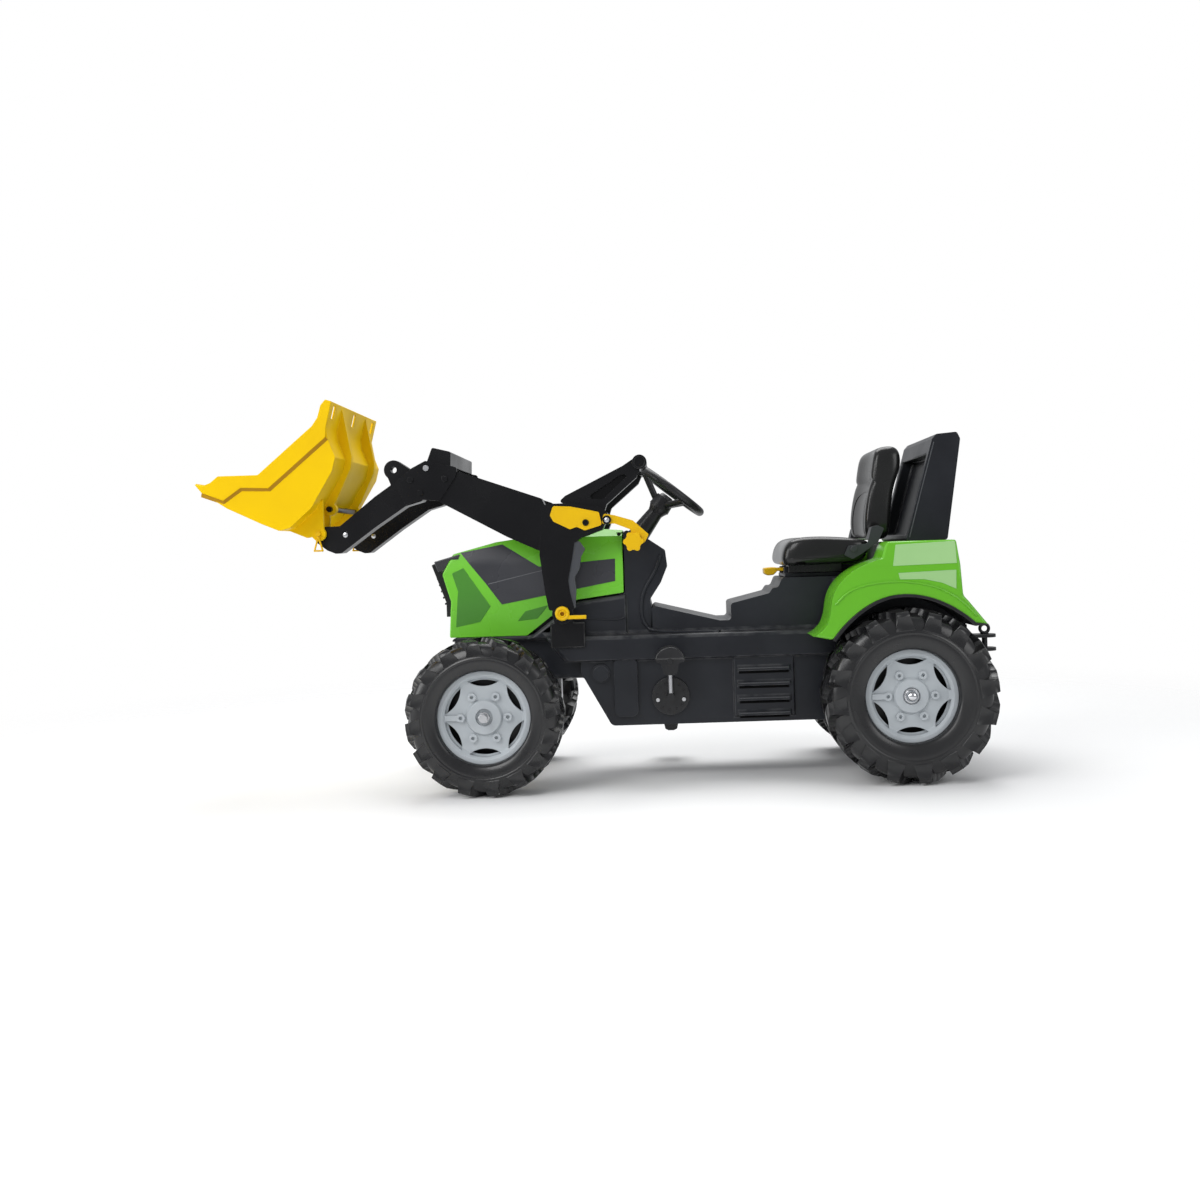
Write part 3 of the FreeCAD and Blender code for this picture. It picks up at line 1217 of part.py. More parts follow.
def bucket_clips():
    """Yellow spring clips through the ends of both bucket pins."""
    y = ARM_OUT_Y + LUG_GAP + LUG_WIDE + WALL
    clips = []
    for side in (-1, 1):
        top = V(BUCKET_PIN_X, side * y, BUCKET_PIN_Z - ARM_BORE_R)
        foot = V(BUCKET_PIN_X - CLIP_LONG * CLIP_LEAN_SHARE, side * y, BUCKET_PIN_Z - CLIP_LONG)
        bow = V(BUCKET_PIN_X + CLIP_LONG * CLIP_LEAN_SHARE, side * y, BUCKET_PIN_Z - CLIP_LONG)
        clip = joined([rod(top, foot, CLIP_WIRE_R), rod(foot, bow, CLIP_WIRE_R),
                       rod(bow, top, CLIP_WIRE_R),
                       Part.makeSphere(CLIP_WIRE_R, foot), Part.makeSphere(CLIP_WIRE_R, bow)])
        clips.append(clip.cut(cross_rod(BUCKET_PIN_X, BUCKET_PIN_Z, -BUCKET_HALF_Y, BUCKET_HALF_Y,
                                        ARM_BORE_R)))
    return Part.makeCompound(clips)


CLIP_LEAN_SHARE = 0.25


def bucket_bar():
    return cross_rod(CROSS_X, CROSS_Z, -RIB_Y - RIB_HALF - WALL * 2, RIB_Y + RIB_HALF + WALL * 2, CROSS_R)


# Seat on its base, with latch lever
SEAT_BASE_BEFORE_AXLE = 228.0
SEAT_BASE_LONG = 154.0
SEAT_BASE_FRONT_X = REAR_AXLE_X - SEAT_BASE_BEFORE_AXLE
SEAT_BASE_REAR_X = SEAT_BASE_FRONT_X + SEAT_BASE_LONG
SEAT_BASE_Y = 70.0
RAIL_Y = 44.0
RAIL_HALF = 8.0
RAIL_HIGH = 14.0
SEAT_ABOVE_DECK = 26.0
SEAT_LOW_Z = SEAT_DECK_Z + SEAT_ABOVE_DECK
PAN_BEFORE_AXLE = 237.0
PAN_LONG = 194.0
PAN_HIGH = 57.0
PAN_FRONT_X = REAR_AXLE_X - PAN_BEFORE_AXLE
PAN_REAR_X = PAN_FRONT_X + PAN_LONG
PAN_TOP_Z = SEAT_LOW_Z + PAN_HIGH
PAN_Y = 140.0
PAN_SHARES = [(0.0, 0.26), (0.03, 0.63), (0.09, 0.93), (0.20, 1.0), (0.59, 0.98), (1.0, 0.82),
              (0.88, 0.07), (0.155, 0.0), (0.01, 0.05)]
PAN_ROUND = 8.0
DISH_SHARE = 0.75
DISH_DEEP = 12.0
BACK_BEFORE_AXLE = 62.0
BACK_DEEP = 82.0
BACK_SUNK = 8.0
BACK_HIGH = 193.0
BACK_FRONT_X = REAR_AXLE_X - BACK_BEFORE_AXLE
BACK_REAR_X = BACK_FRONT_X + BACK_DEEP
BACK_LOW_Z = PAN_TOP_Z - BACK_SUNK
BACK_TOP_Z = BACK_LOW_Z + BACK_HIGH
BACK_Y = 112.0
BACK_SHARES = [(0.02, 0.04), (0.0, 0.15), (0.05, 0.36), (0.19, 0.66), (0.22, 0.71), (0.28, 0.91),
               (0.35, 0.97), (0.48, 0.99),
               (0.83, 1.0), (0.98, 0.94), (1.0, 0.77), (0.84, 0.63), (0.74, 0.47), (0.65, 0.03), (0.58, 0.0),
               (0.16, 0.0)]
SEAT_STEP = 0.4


def seat_base():
    """Flat base on the hull with two rails for the seat to slide on."""
    low = box(SEAT_BASE_FRONT_X, SEAT_BASE_REAR_X, -SEAT_BASE_Y, SEAT_BASE_Y, SEAT_DECK_Z,
              SEAT_DECK_Z + WALL * 2)
    solids = [low]
    for side in (-1, 1):
        ends = sorted((side * RAIL_Y - RAIL_HALF, side * RAIL_Y + RAIL_HALF))
        solids.append(box(SEAT_BASE_FRONT_X, SEAT_BASE_REAR_X, ends[0], ends[1], SEAT_DECK_Z,
                          SEAT_DECK_Z + WALL * 2 + RAIL_HIGH))
    return joined(solids)


def seat_pan():
    body = slab(stretch(PAN_SHARES, PAN_FRONT_X, PAN_REAR_X, SEAT_LOW_Z, PAN_TOP_Z), -PAN_Y, PAN_Y,
                PAN_ROUND)
    sole_low = SEAT_DECK_Z + WALL * 2 + SEAT_STEP
    sole = box(SEAT_BASE_FRONT_X + WALL * 2, SEAT_BASE_REAR_X - WALL * 8, -SEAT_BASE_Y, SEAT_BASE_Y,
               sole_low, SEAT_LOW_Z + WALL)
    whole = joined([body, sole])
    rail_top = SEAT_DECK_Z + WALL * 2 + RAIL_HIGH + SEAT_STEP
    for side in (-1, 1):
        edge = RAIL_HALF + SEAT_STEP
        whole = whole.cut(box(PAN_FRONT_X, PAN_REAR_X, side * RAIL_Y - edge, side * RAIL_Y + edge,
                              sole_low, rail_top))
    dish_y = PAN_Y * DISH_SHARE
    dish_r = (dish_y * dish_y + DISH_DEEP * DISH_DEEP) / (2 * DISH_DEEP)
    hollow = rod(V(PAN_FRONT_X, 0, PAN_TOP_Z - DISH_DEEP + dish_r),
                 V(PAN_REAR_X, 0, PAN_TOP_Z - DISH_DEEP + dish_r), dish_r)
    return whole.cut(hollow).cut(latch_pocket())


def seat_back():
    return slab(stretch(BACK_SHARES, BACK_FRONT_X, BACK_REAR_X, BACK_LOW_Z, BACK_TOP_Z), -BACK_Y, BACK_Y,
                PAN_ROUND).cut(seat_pan())


HINGE_SHARES = [(0.0, 0.13), (0.11, 0.41), (0.55, 0.46), (0.65, 0.95), (0.80, 1.0), (0.95, 0.91),
                (0.80, 0.50), (0.42, 0.16), (0.20, 0.0)]
BRACE_BEFORE_AXLE = 112.0
BRACE_LONG = 89.0
BRACE_ABOVE_SEAT = 9.0
BRACE_HIGH = 68.0
BRACE_FRONT_X = REAR_AXLE_X - BRACE_BEFORE_AXLE
BRACE_REAR_X = BRACE_FRONT_X + BRACE_LONG
BRACE_LOW_Z = SEAT_LOW_Z + BRACE_ABOVE_SEAT
BRACE_TOP_Z = BRACE_LOW_Z + BRACE_HIGH
BRACE_THICK = 5.0
BRACE_BOLT_IN = 20.0
BRACE_BOLT_UP = 21.0
BRACE_BOLT_X = BRACE_FRONT_X + BRACE_BOLT_IN
BRACE_BOLT_Z = BRACE_LOW_Z + BRACE_BOLT_UP


def seat_brace():
    """Left bent steel bracket, riveted, that holds the seat back on the pan."""
    points = stretch(HINGE_SHARES, BRACE_FRONT_X, BRACE_REAR_X, BRACE_LOW_Z, BRACE_TOP_Z)
    plate = slab(points, -PAN_Y - BRACE_THICK, -PAN_Y, WALL)
    bridge = slab(points[2:7], -PAN_Y, -BACK_Y)
    bolt = cross_rod(BRACE_BOLT_X, BRACE_BOLT_Z, -PAN_Y - BRACE_THICK - BOLT_HIGH, -PAN_Y, BOLT_R)
    return joined([plate, bridge, bolt]).cut(seat_pan()).cut(seat_back())


LATCH_OUT = 29.0
LATCH_PIVOT_IN = 29.0
LATCH_UP = 16.0
LATCH_FRONT_X = PAN_FRONT_X - LATCH_OUT
LATCH_X = PAN_FRONT_X + LATCH_PIVOT_IN
LATCH_Z = SEAT_DECK_Z + LATCH_UP
LATCH_Y = 22.0
LATCH_THICK = 7.0
LATCH_PIN_R = 4.0
LATCH_PIN_Y = 28.0
LATCH_ROOM = 12.0


def seat_latch():
    """Yellow lever under the seat front that frees the slide, with its pivot pin."""
    half = LATCH_THICK / 2
    blade = box(LATCH_FRONT_X, LATCH_X, -LATCH_Y, LATCH_Y, LATCH_Z - half, LATCH_Z + half)
    pin = cross_rod(LATCH_X, LATCH_Z, -LATCH_PIN_Y, LATCH_PIN_Y, LATCH_PIN_R)
    return joined([blade, pin])


def latch_pocket():
    """Room in the seat sole for the latch blade and the bore for its pin."""
    room = box(PAN_FRONT_X, LATCH_X + LATCH_ROOM / 2, -LATCH_Y - AIR, LATCH_Y + AIR, SEAT_DECK_Z,
               LATCH_Z + LATCH_ROOM)
    bore = cross_rod(LATCH_X, LATCH_Z, -LATCH_PIN_Y - AIR, LATCH_PIN_Y + AIR, LATCH_PIN_R + RUN_FIT)
    return room.fuse(bore)


# Fenders, guard and hitch at the rear
FENDER_LEAD = 16.0
FENDER_SHORT = 20.0
FENDER_DROP = 59.0
FENDER_FRONT_X = REAR_AXLE_X - REAR_TYRE_R - FENDER_LEAD
FENDER_REAR_X = REAR_AXLE_X + REAR_TYRE_R - FENDER_SHORT
FENDER_LOW_Z = REAR_TYRE_R * 2 - FENDER_DROP
FENDER_IN_Y = 125.0
FENDER_OUT_Y = 243.0
FENDER_CREST_SHARES = [(0.0, 0.04), (0.10, 0.27), (0.12, 0.45), (0.17, 0.60), (0.275, 0.74), (0.405, 0.82)]
FENDER_BOX_SHARES = [(0.405, 0.82), (0.43, 0.94), (0.45, 1.0), (0.845, 1.0), (0.865, 0.42), (0.895, 0.36),
                     (1.0, 0.12), (0.93, 0.135)]
FENDER_ARCH_SHARES = [(0.93, 0.135), (0.775, 0.335), (0.60, 0.44), (0.43, 0.43), (0.275, 0.30), (0.107, 0.0)]
SEAL_OUT_Y = 246.0
SEAL_LIP_SHARES = [(0.125, -0.02), (0.285, 0.27), (0.435, 0.40), (0.60, 0.41), (0.765, 0.305), (0.925, 0.10)]
FACET_IN = 10.0


def fender_points(shares):
    return stretch(shares, FENDER_FRONT_X, FENDER_REAR_X, FENDER_LOW_Z, TAIL_TOP_Z)


def fender():
    """Left fender: arched green shell over the rear wheel, its upper faces drawn in."""
    crest = fender_points(FENDER_CREST_SHARES)
    tower = fender_points(FENDER_BOX_SHARES)
    arch = fender_points(FENDER_ARCH_SHARES)
    runs = [crest] + [list(pair) for pair in zip(tower, tower[1:])] + [arch, [arch[-1], crest[0]]]
    body = curved_slab(runs, -FENDER_OUT_Y, -FENDER_IN_Y)
    ridge = TAIL_TOP_Z - (TAIL_TOP_Z - FENDER_LOW_Z) * RIDGE_SHARE
    slope = bar([(-FENDER_OUT_Y, ridge), (-FENDER_OUT_Y, TAIL_TOP_Z + WALL),
                 (-FENDER_OUT_Y + FACET_IN * 2, TAIL_TOP_Z + WALL)],
                FENDER_FRONT_X, FENDER_REAR_X)
    hollow = slab(fender_points(FENDER_POCKET_SHARES), -FENDER_OUT_Y + FACET_IN * 2 + WALL,
                  -FENDER_IN_Y - WALL)
    return body.cut(slope).cut(hollow)


RIDGE_SHARE = 0.26
FENDER_POCKET_SHARES = [(0.46, 0.42), (0.47, 0.94), (0.82, 0.94), (0.83, 0.26), (0.775, 0.30),
                        (0.59, 0.43)]


def fender_seal():
    """Black strip along the arch, from its front foot to the tip behind the wheel."""
    tip = fender_points(FENDER_BOX_SHARES)[-2]
    arch = fender_points(FENDER_ARCH_SHARES)
    lip = fender_points(SEAL_LIP_SHARES)
    runs = [[tip, arch[0]], arch, [arch[-1], lip[0]], lip, [lip[-1], tip]]
    return curved_slab(runs, -SEAL_OUT_Y, -FENDER_IN_Y)


GUARD_Y = 150.0
GUARD_BEHIND_AXLE = 4.0
GUARD_DEEP = 129.0
GUARD_HIGH = 221.0
GUARD_FRONT_X = REAR_AXLE_X + GUARD_BEHIND_AXLE
GUARD_REAR_X = GUARD_FRONT_X + GUARD_DEEP
GUARD_TOP_Z = TAIL_TOP_Z + GUARD_HIGH
GUARD_SHARES = [(0.09, 0.0), (0.55, 0.94), (0.62, 0.985), (0.95, 1.0), (1.0, 0.935), (0.75, 0.0)]
GUARD_POCKET_SHARES = [(-0.10, 0.06), (0.32, 0.06), (0.69, 0.80), (0.10, 0.80)]
GUARD_POCKET_Y = 130.0
GUARD_ROUND = 6.0


def roll_guard():
    """Black guard behind the seat, hollowed at the front for the seat back."""
    def at(shares):
        return stretch(shares, GUARD_FRONT_X, GUARD_REAR_X, TAIL_TOP_Z, GUARD_TOP_Z)

    body = slab(at(GUARD_SHARES), -GUARD_Y, GUARD_Y, GUARD_ROUND)
    return body.cut(slab(at(GUARD_POCKET_SHARES), -GUARD_POCKET_Y, GUARD_POCKET_Y))


HITCH_Z = 258.0
HITCH_LONG = 91.0
HITCH_END_X = HULL_REAR_X + HITCH_LONG
HITCH_Y = 22.0
HITCH_PLATE = 7.0
HITCH_JAW = 22.0
HITCH_PIN_OUT = 67.0
HITCH_PIN_X = HULL_REAR_X + HITCH_PIN_OUT
HITCH_PIN_R = 6.0
HITCH_RING_R = 9.5
HITCH_RING_TUBE_R = 3.5
HITCH_FOOT_R = 9.0


def rear_hitch():
    """Trailer jaw: back block and two tongues."""
    low = HITCH_Z - HITCH_JAW / 2
    high = HITCH_Z + HITCH_JAW / 2
    solids = [box(HULL_REAR_X, HULL_REAR_X + HITCH_Y, -HITCH_Y, HITCH_Y, low - HITCH_PLATE,
                  high + HITCH_PLATE)]
    for floor in (low - HITCH_PLATE, high):
        solids.append(box(HULL_REAR_X, HITCH_END_X - HITCH_Y, -HITCH_Y, HITCH_Y, floor,
                          floor + HITCH_PLATE))
        solids.append(Part.makeCylinder(HITCH_Y, HITCH_PLATE, V(HITCH_END_X - HITCH_Y, 0, floor)))
    whole = joined(solids)
    return whole.cut(Part.makeCylinder(HITCH_PIN_R + RUN_FIT, HITCH_Z,
                                       V(HITCH_PIN_X, 0, low - HITCH_PLATE)))


def hitch_pin():
    low = HITCH_Z - HITCH_JAW / 2 - HITCH_PLATE
    high = HITCH_Z + HITCH_JAW / 2 + HITCH_PLATE + AIR
    shank = Part.makeCylinder(HITCH_PIN_R, high - low, V(HITCH_PIN_X, 0, low))
    ring = Part.makeTorus(HITCH_RING_R, HITCH_RING_TUBE_R,
                          V(HITCH_PIN_X, 0, high + HITCH_RING_R + HITCH_RING_TUBE_R / 2), SIDE)
    collar = Part.makeCylinder(HITCH_FOOT_R, HITCH_RING_TUBE_R, V(HITCH_PIN_X, 0, high))
    return joined([shank, ring, collar])


# Build and write every piece
save("main_frame", main_frame())
save_both("hull_plugs", hull_plug())
save("front_axle_beam", front_axle_beam())
save_pair("knuckle", knuckle())
save("tie_rod", tie_rod())
save_pair("front_tyre", tyre(FRONT_TYRE_R, FRONT_TYRE_W, FRONT_AXLE_X, -FRONT_WHEEL_Y))
save_pair("front_rim", rim(FRONT_TYRE_W, FRONT_AXLE_X, FRONT_TYRE_R, -FRONT_WHEEL_Y, STUB_R + RUN_FIT))
save_pair("stub_nut", stub_nut())
save_both("rear_tyres", tyre(REAR_TYRE_R, REAR_TYRE_W, REAR_AXLE_X, -REAR_WHEEL_Y))
save_both("rear_rims", rim(REAR_TYRE_W, REAR_AXLE_X, REAR_TYRE_R, -REAR_WHEEL_Y, REAR_ROD_R))
save_both("axle_nuts", axle_nut())
rear_end = REAR_WHEEL_Y + REAR_TYRE_W / 2 * WEB_SHARE + NUT_HIGH
save("rear_axle", cross_rod(REAR_AXLE_X, REAR_TYRE_R, -rear_end, rear_end, REAR_ROD_R))
save_both("axle_bushes", axle_bush())
save("rear_sprocket", sprocket(REAR_TEETH, rear_pitch_r, REAR_AXLE_X, REAR_TYRE_R, REAR_ROD_R))
save("crank_sprocket", sprocket(CRANK_TEETH, crank_pitch_r, CRANK_X, CRANK_Z, CRANK_ROD_R))
save("drive_chain", drive_chain())
save("crank_shaft", crank_shaft())
save_both("crank_bearings", crank_bearing())
save("bearing_screws", bearing_screws())
save("pedal_left", pedal(-1))
save("pedal_right", pedal(1))
save("steering_wheel", steering_wheel())
save("steering_shaft", steering_shaft())
save("column_tube", column_tube())
save("hood", hood())
save("hood_hinge", hood_hinge())
save("front_grille", front_grille())
save_both("headlights", headlight())
save_both("loader_brackets", loader_bracket())
save_both("lock_pins", lock_pin())
save_both("loader_towers", tower())
save_both("rear_arms", rear_arm())
save_both("front_arms", front_arm())
save_both("elbow_plates", elbow_plate())
save("cross_beam", cross_beam())
save("elbow_bolts", bolt_heads(arm_points(ELBOW_BOLT_SHARES), ARM_OUT_Y + ELBOW_OUT))
save_both("cover_plates", cover_plate())
save_both("lift_levers", lift_lever())
save_both("lift_grips", lift_grip())
save("tilt_lever", tilt_lever())
save("tilt_bolt", tilt_bolt())
save("bucket", bucket())
save_both("bucket_pins", bucket_pin())
save("bucket_clips", bucket_clips())
save("bucket_bar", bucket_bar())
save("seat_base", seat_base())
save("seat_pan", seat_pan())
save("seat_back", seat_back())
save_both("seat_braces", seat_brace())
save("seat_latch", seat_latch())
save_both("fenders", fender())
save_both("fender_seals", fender_seal())
save("roll_guard", roll_guard())
save("rear_hitch", rear_hitch())
save("hitch_pin", hitch_pin())
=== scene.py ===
import json
import math
import bmesh
import bpy
from mathutils import Matrix, Vector
from mathutils.bvhtree import BVHTree

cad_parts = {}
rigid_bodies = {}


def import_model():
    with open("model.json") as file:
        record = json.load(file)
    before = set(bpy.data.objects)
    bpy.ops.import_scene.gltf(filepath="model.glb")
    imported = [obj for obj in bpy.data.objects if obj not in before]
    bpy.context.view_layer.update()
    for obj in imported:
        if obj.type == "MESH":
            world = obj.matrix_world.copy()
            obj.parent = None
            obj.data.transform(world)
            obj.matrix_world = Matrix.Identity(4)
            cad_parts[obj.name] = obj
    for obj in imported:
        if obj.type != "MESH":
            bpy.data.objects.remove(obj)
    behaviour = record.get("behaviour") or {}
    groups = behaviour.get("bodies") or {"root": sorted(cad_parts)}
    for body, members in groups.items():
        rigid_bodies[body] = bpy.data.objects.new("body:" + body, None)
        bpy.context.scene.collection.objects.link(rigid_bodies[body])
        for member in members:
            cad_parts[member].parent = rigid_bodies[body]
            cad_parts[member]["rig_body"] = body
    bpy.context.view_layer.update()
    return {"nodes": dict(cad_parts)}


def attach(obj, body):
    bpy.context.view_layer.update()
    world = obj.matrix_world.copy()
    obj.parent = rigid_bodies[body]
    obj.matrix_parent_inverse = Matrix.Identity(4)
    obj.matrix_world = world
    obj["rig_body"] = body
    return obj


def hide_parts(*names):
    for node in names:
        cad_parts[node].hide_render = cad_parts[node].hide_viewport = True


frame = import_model()

# Studio: a pale floor that fades out into a white surround, and five soft lamps.
# The camera stands level on the tractor's left side, turned a little about its own axis.
FLOOR_RADIUS = 7.0
FLOOR_FADE_FROM = 0.8
FLOOR_FADE_TO = 2.6
FLOOR_COLOUR = (0.92, 0.92, 0.92, 1.0)
FLOOR_ROUGH = 0.85
FLOOR_CORNERS = 96
SKY_TINT = (0.95, 0.97, 1.0, 1.0)
SKY_STRENGTH = 0.42
CAMERA_PLACE = (0.104, -2.755, 0.484)
CAMERA_LENS = 38.07
CAMERA_SENSOR = 36.0
CAMERA_ROLL = 1.796
CAMERA_SHIFT = (-0.05, -0.0433)
LAMP_AIM = Vector((0.0, 0.0, 0.35))
LAMPS = {
    "key_softbox": ((-1.7, -2.4, 2.4), 1.8, 50.0),
    "front_softbox": ((-3.0, -0.9, 1.2), 1.6, 34.0),
    "fill_softbox": ((2.6, -2.0, 1.6), 1.6, 18.0),
    "top_softbox": ((0.2, 1.0, 3.0), 2.4, 74.0),
    "far_softbox": ((-0.5, 3.0, 1.0), 2.6, 5.5),
}


def linked(mesh_name, shape):
    """A new object in the scene from a finished bmesh."""
    mesh = bpy.data.meshes.new(mesh_name)
    shape.to_mesh(mesh)
    shape.free()
    piece = bpy.data.objects.new(mesh_name, mesh)
    bpy.context.scene.collection.objects.link(piece)
    return piece


def fitted(node, values):
    """Sets named sockets of a node."""
    for label, value in values.items():
        node.inputs[label].default_value = value
    return node


def added(tree, kind, values=None, operation=None):
    """A new node in a tree, with values for its sockets."""
    node = tree.nodes.new(kind)
    if operation:
        node.operation = operation
    return fitted(node, values or {})


def joined(tree, *pairs):
    """Links outputs of nodes to inputs of nodes."""
    for source, given, target, taken in pairs:
        tree.links.new(source.outputs[given], target.inputs[taken])


def blank_material(name):
    """A new material, its node tree and its shader."""
    material = bpy.data.materials.new(name)
    material.use_nodes = True
    return material, material.node_tree, material.node_tree.nodes["Principled BSDF"]


floor_shape = bmesh.new()
bmesh.ops.create_circle(floor_shape, cap_ends=True, radius=FLOOR_RADIUS, segments=FLOOR_CORNERS)
floor = linked("studio_floor", floor_shape)
floor_paint, floor_tree, floor_shader = blank_material("pale_floor")
fitted(floor_shader, {"Base Color": FLOOR_COLOUR, "Roughness": FLOOR_ROUGH})
floor_place = added(floor_tree, "ShaderNodeTexCoord")
floor_length = added(floor_tree, "ShaderNodeVectorMath", operation="LENGTH")
floor_fade = added(
    floor_tree, "ShaderNodeMapRange", {"From Min": FLOOR_FADE_FROM, "From Max": FLOOR_FADE_TO})
floor_fade.interpolation_type = "SMOOTHSTEP"
floor_clear = added(floor_tree, "ShaderNodeBsdfTransparent")
floor_mix = added(floor_tree, "ShaderNodeMixShader")
floor_end = floor_tree.nodes["Material Output"]
joined(
    floor_tree, (floor_place, "Object", floor_length, 0), (floor_length, "Value", floor_fade, "Value"),
    (floor_fade, "Result", floor_mix, 0), (floor_shader, 0, floor_mix, 1), (floor_clear, 0, floor_mix, 2),
    (floor_mix, 0, floor_end, "Surface"))
floor.data.materials.append(floor_paint)

surround = bpy.data.worlds.new("white_surround")
surround.use_nodes = True
sky_tree = surround.node_tree
sky_seen = fitted(sky_tree.nodes["Background"], {"Color": (1.0, 1.0, 1.0, 1.0), "Strength": 1.0})
sky_lit = added(sky_tree, "ShaderNodeBackground", {"Color": SKY_TINT, "Strength": SKY_STRENGTH})
sky_ray = added(sky_tree, "ShaderNodeLightPath")
sky_seen_by = added(sky_tree, "ShaderNodeMath", operation="MAXIMUM")
sky_mix = added(sky_tree, "ShaderNodeMixShader")
sky_end = sky_tree.nodes["World Output"]
joined(
    sky_tree, (sky_ray, "Is Camera Ray", sky_seen_by, 0),
    (sky_ray, "Is Transmission Ray", sky_seen_by, 1), (sky_seen_by, 0, sky_mix, 0),
    (sky_lit, 0, sky_mix, 1), (sky_seen, 0, sky_mix, 2), (sky_mix, 0, sky_end, "Surface"))
bpy.context.scene.world = surround

for lamp_name, (lamp_place, lamp_size, lamp_power) in LAMPS.items():
    lamp_data = bpy.data.lights.new(lamp_name, "AREA")
    lamp_data.shape = "SQUARE"
    lamp_data.size = lamp_size
    lamp_data.energy = lamp_power
    lamp = bpy.data.objects.new(lamp_name, lamp_data)
    lamp.location = lamp_place
    lamp.rotation_euler = (LAMP_AIM - Vector(lamp_place)).to_track_quat("-Z", "Y").to_euler()
    bpy.context.scene.collection.objects.link(lamp)

camera_data = bpy.data.cameras.new("photo_camera")
camera_data.lens = CAMERA_LENS
camera_data.sensor_width = CAMERA_SENSOR
camera_data.shift_x, camera_data.shift_y = CAMERA_SHIFT
camera = bpy.data.objects.new("photo_camera", camera_data)
camera.location = CAMERA_PLACE
camera.rotation_euler = (math.radians(90.0), math.radians(CAMERA_ROLL), 0.0)
bpy.context.scene.collection.objects.link(camera)
bpy.context.scene.camera = camera
bpy.context.scene.view_settings.view_transform = "Standard"

# Main frame: one hollow blow-moulded hull of black plastic that carries everything else.
# Its edges are round from the mould, its skin has a fine spark-eroded grain,
# and the edges that feet and hands rub are a little paler.
HULL_EDGE = 0.009
THICK_EDGE = 0.003
SHEET_EDGE = 0.001
CLOUD_SCALE = 9.0
RUB_SHARE = 0.75
RUB_PALE = 0.10
SHEEN_LESS = 0.05
SHEEN_MORE = 0.06
GRAIN_HEIGHT = 0.0006
DUST_COLOUR = (0.42, 0.40, 0.37, 1.0)
WELD = 0.00002
FLAT_ANGLE = math.radians(0.6)
HARD_ANGLE = math.radians(24.0)
SMOOTH_ANGLE = math.radians(40.0)
ROOM_SHARE = 0.42
SKIM = 0.0001
RUN_ON = math.cos(math.radians(40.0))
FOLDED = math.radians(170.0)
LEVEL = math.cos(math.radians(1.5))
STRENGTH_NAME = "__mod_weightednormals_faceweight"
CORNER_CUT = 0.25
BEAD_STEP = 0.006
BEAD_SIDES = 10
PLATE_GRID = 0.009
PLATE_WELD = 0.0008
PLATE_SUNK = 0.001
PLATE_ROUNDING = 0.0006
PLATE_ROUND_SHARE = 0.6
LOOK_FROM = 2.0
LOOKS = {
    "left": Vector((0.0, 1.0, 0.0)),
    "right": Vector((0.0, -1.0, 0.0)),
    "top": Vector((0.0, 0.0, -1.0)),
    "front": Vector((1.0, 0.0, 0.0)),
}
SIDES = {"left": -1.0, "right": 1.0}
DASH_GROOVE = [
    (0.105, 0.469), (0.093, 0.437), (0.065, 0.394), (0.060, 0.354), (0.064, 0.329), (0.083, 0.308),
    (0.223, 0.306)]
PANEL_SEAM = [(0.026, 0.343), (0.014, 0.336), (-0.052, 0.341)]
SEAM_HALF = 0.0020
GROOVE_HALF = 0.0042
LOUVRE_FROM = 0.260
LOUVRE_TO = 0.363
LOUVRE_PITCH = 0.031
LOUVRE_RIBS = 4
CREST_LOW = 0.1363
CREST_HALF = 0.0016
SHADOW_LOW = 0.1275
SHADOW_HALF = 0.0026
LEDGE_OUTLINE = [(0.0215, 0.3895), (0.0275, 0.3895), (0.0275, 0.3956), (0.0215, 0.3956)]
LEDGE_ENDS = (-0.070, 0.070)
BAY_OUTLINE = [
    (-0.166, 0.308), (-0.164, 0.3215), (-0.137, 0.345), (-0.127, 0.345), (-0.130, 0.330), (-0.156, 0.308)]
BAY_ENDS = (-0.078, 0.078)


def value_group(name, inputs, outputs):
    """An empty shader group: a place and values go in, values come out."""
    group = bpy.data.node_groups.new(name, "ShaderNodeTree")
    group.interface.new_socket("Place", in_out="INPUT", socket_type="NodeSocketVector")
    for label in inputs:
        group.interface.new_socket(label, in_out="INPUT", socket_type="NodeSocketFloat")
    for label in outputs:
        group.interface.new_socket(label, in_out="OUTPUT", socket_type="NodeSocketFloat")
    return group, added(group, "NodeGroupInput"), added(group, "NodeGroupOutput")


grain_group, grain_in, grain_out = value_group(
    "moulded_grain", ["Grain Scale", "Cloud Scale"], ["Height", "Cloud"])
grain_fine = added(grain_group, "ShaderNodeTexNoise", {"Detail": 2.0})
grain_cloud = added(grain_group, "ShaderNodeTexNoise", {"Detail": 4.0})
grain_spread = added(grain_group, "ShaderNodeMapRange", {"From Min": 0.34, "From Max": 0.66})
joined(
    grain_group, (grain_in, "Place", grain_fine, "Vector"),
    (grain_in, "Grain Scale", grain_fine, "Scale"), (grain_in, "Place", grain_cloud, "Vector"),
    (grain_in, "Cloud Scale", grain_cloud, "Scale"), (grain_fine, "Fac", grain_out, "Height"),
    (grain_cloud, "Fac", grain_spread, "Value"), (grain_spread, "Result", grain_out, "Cloud"))

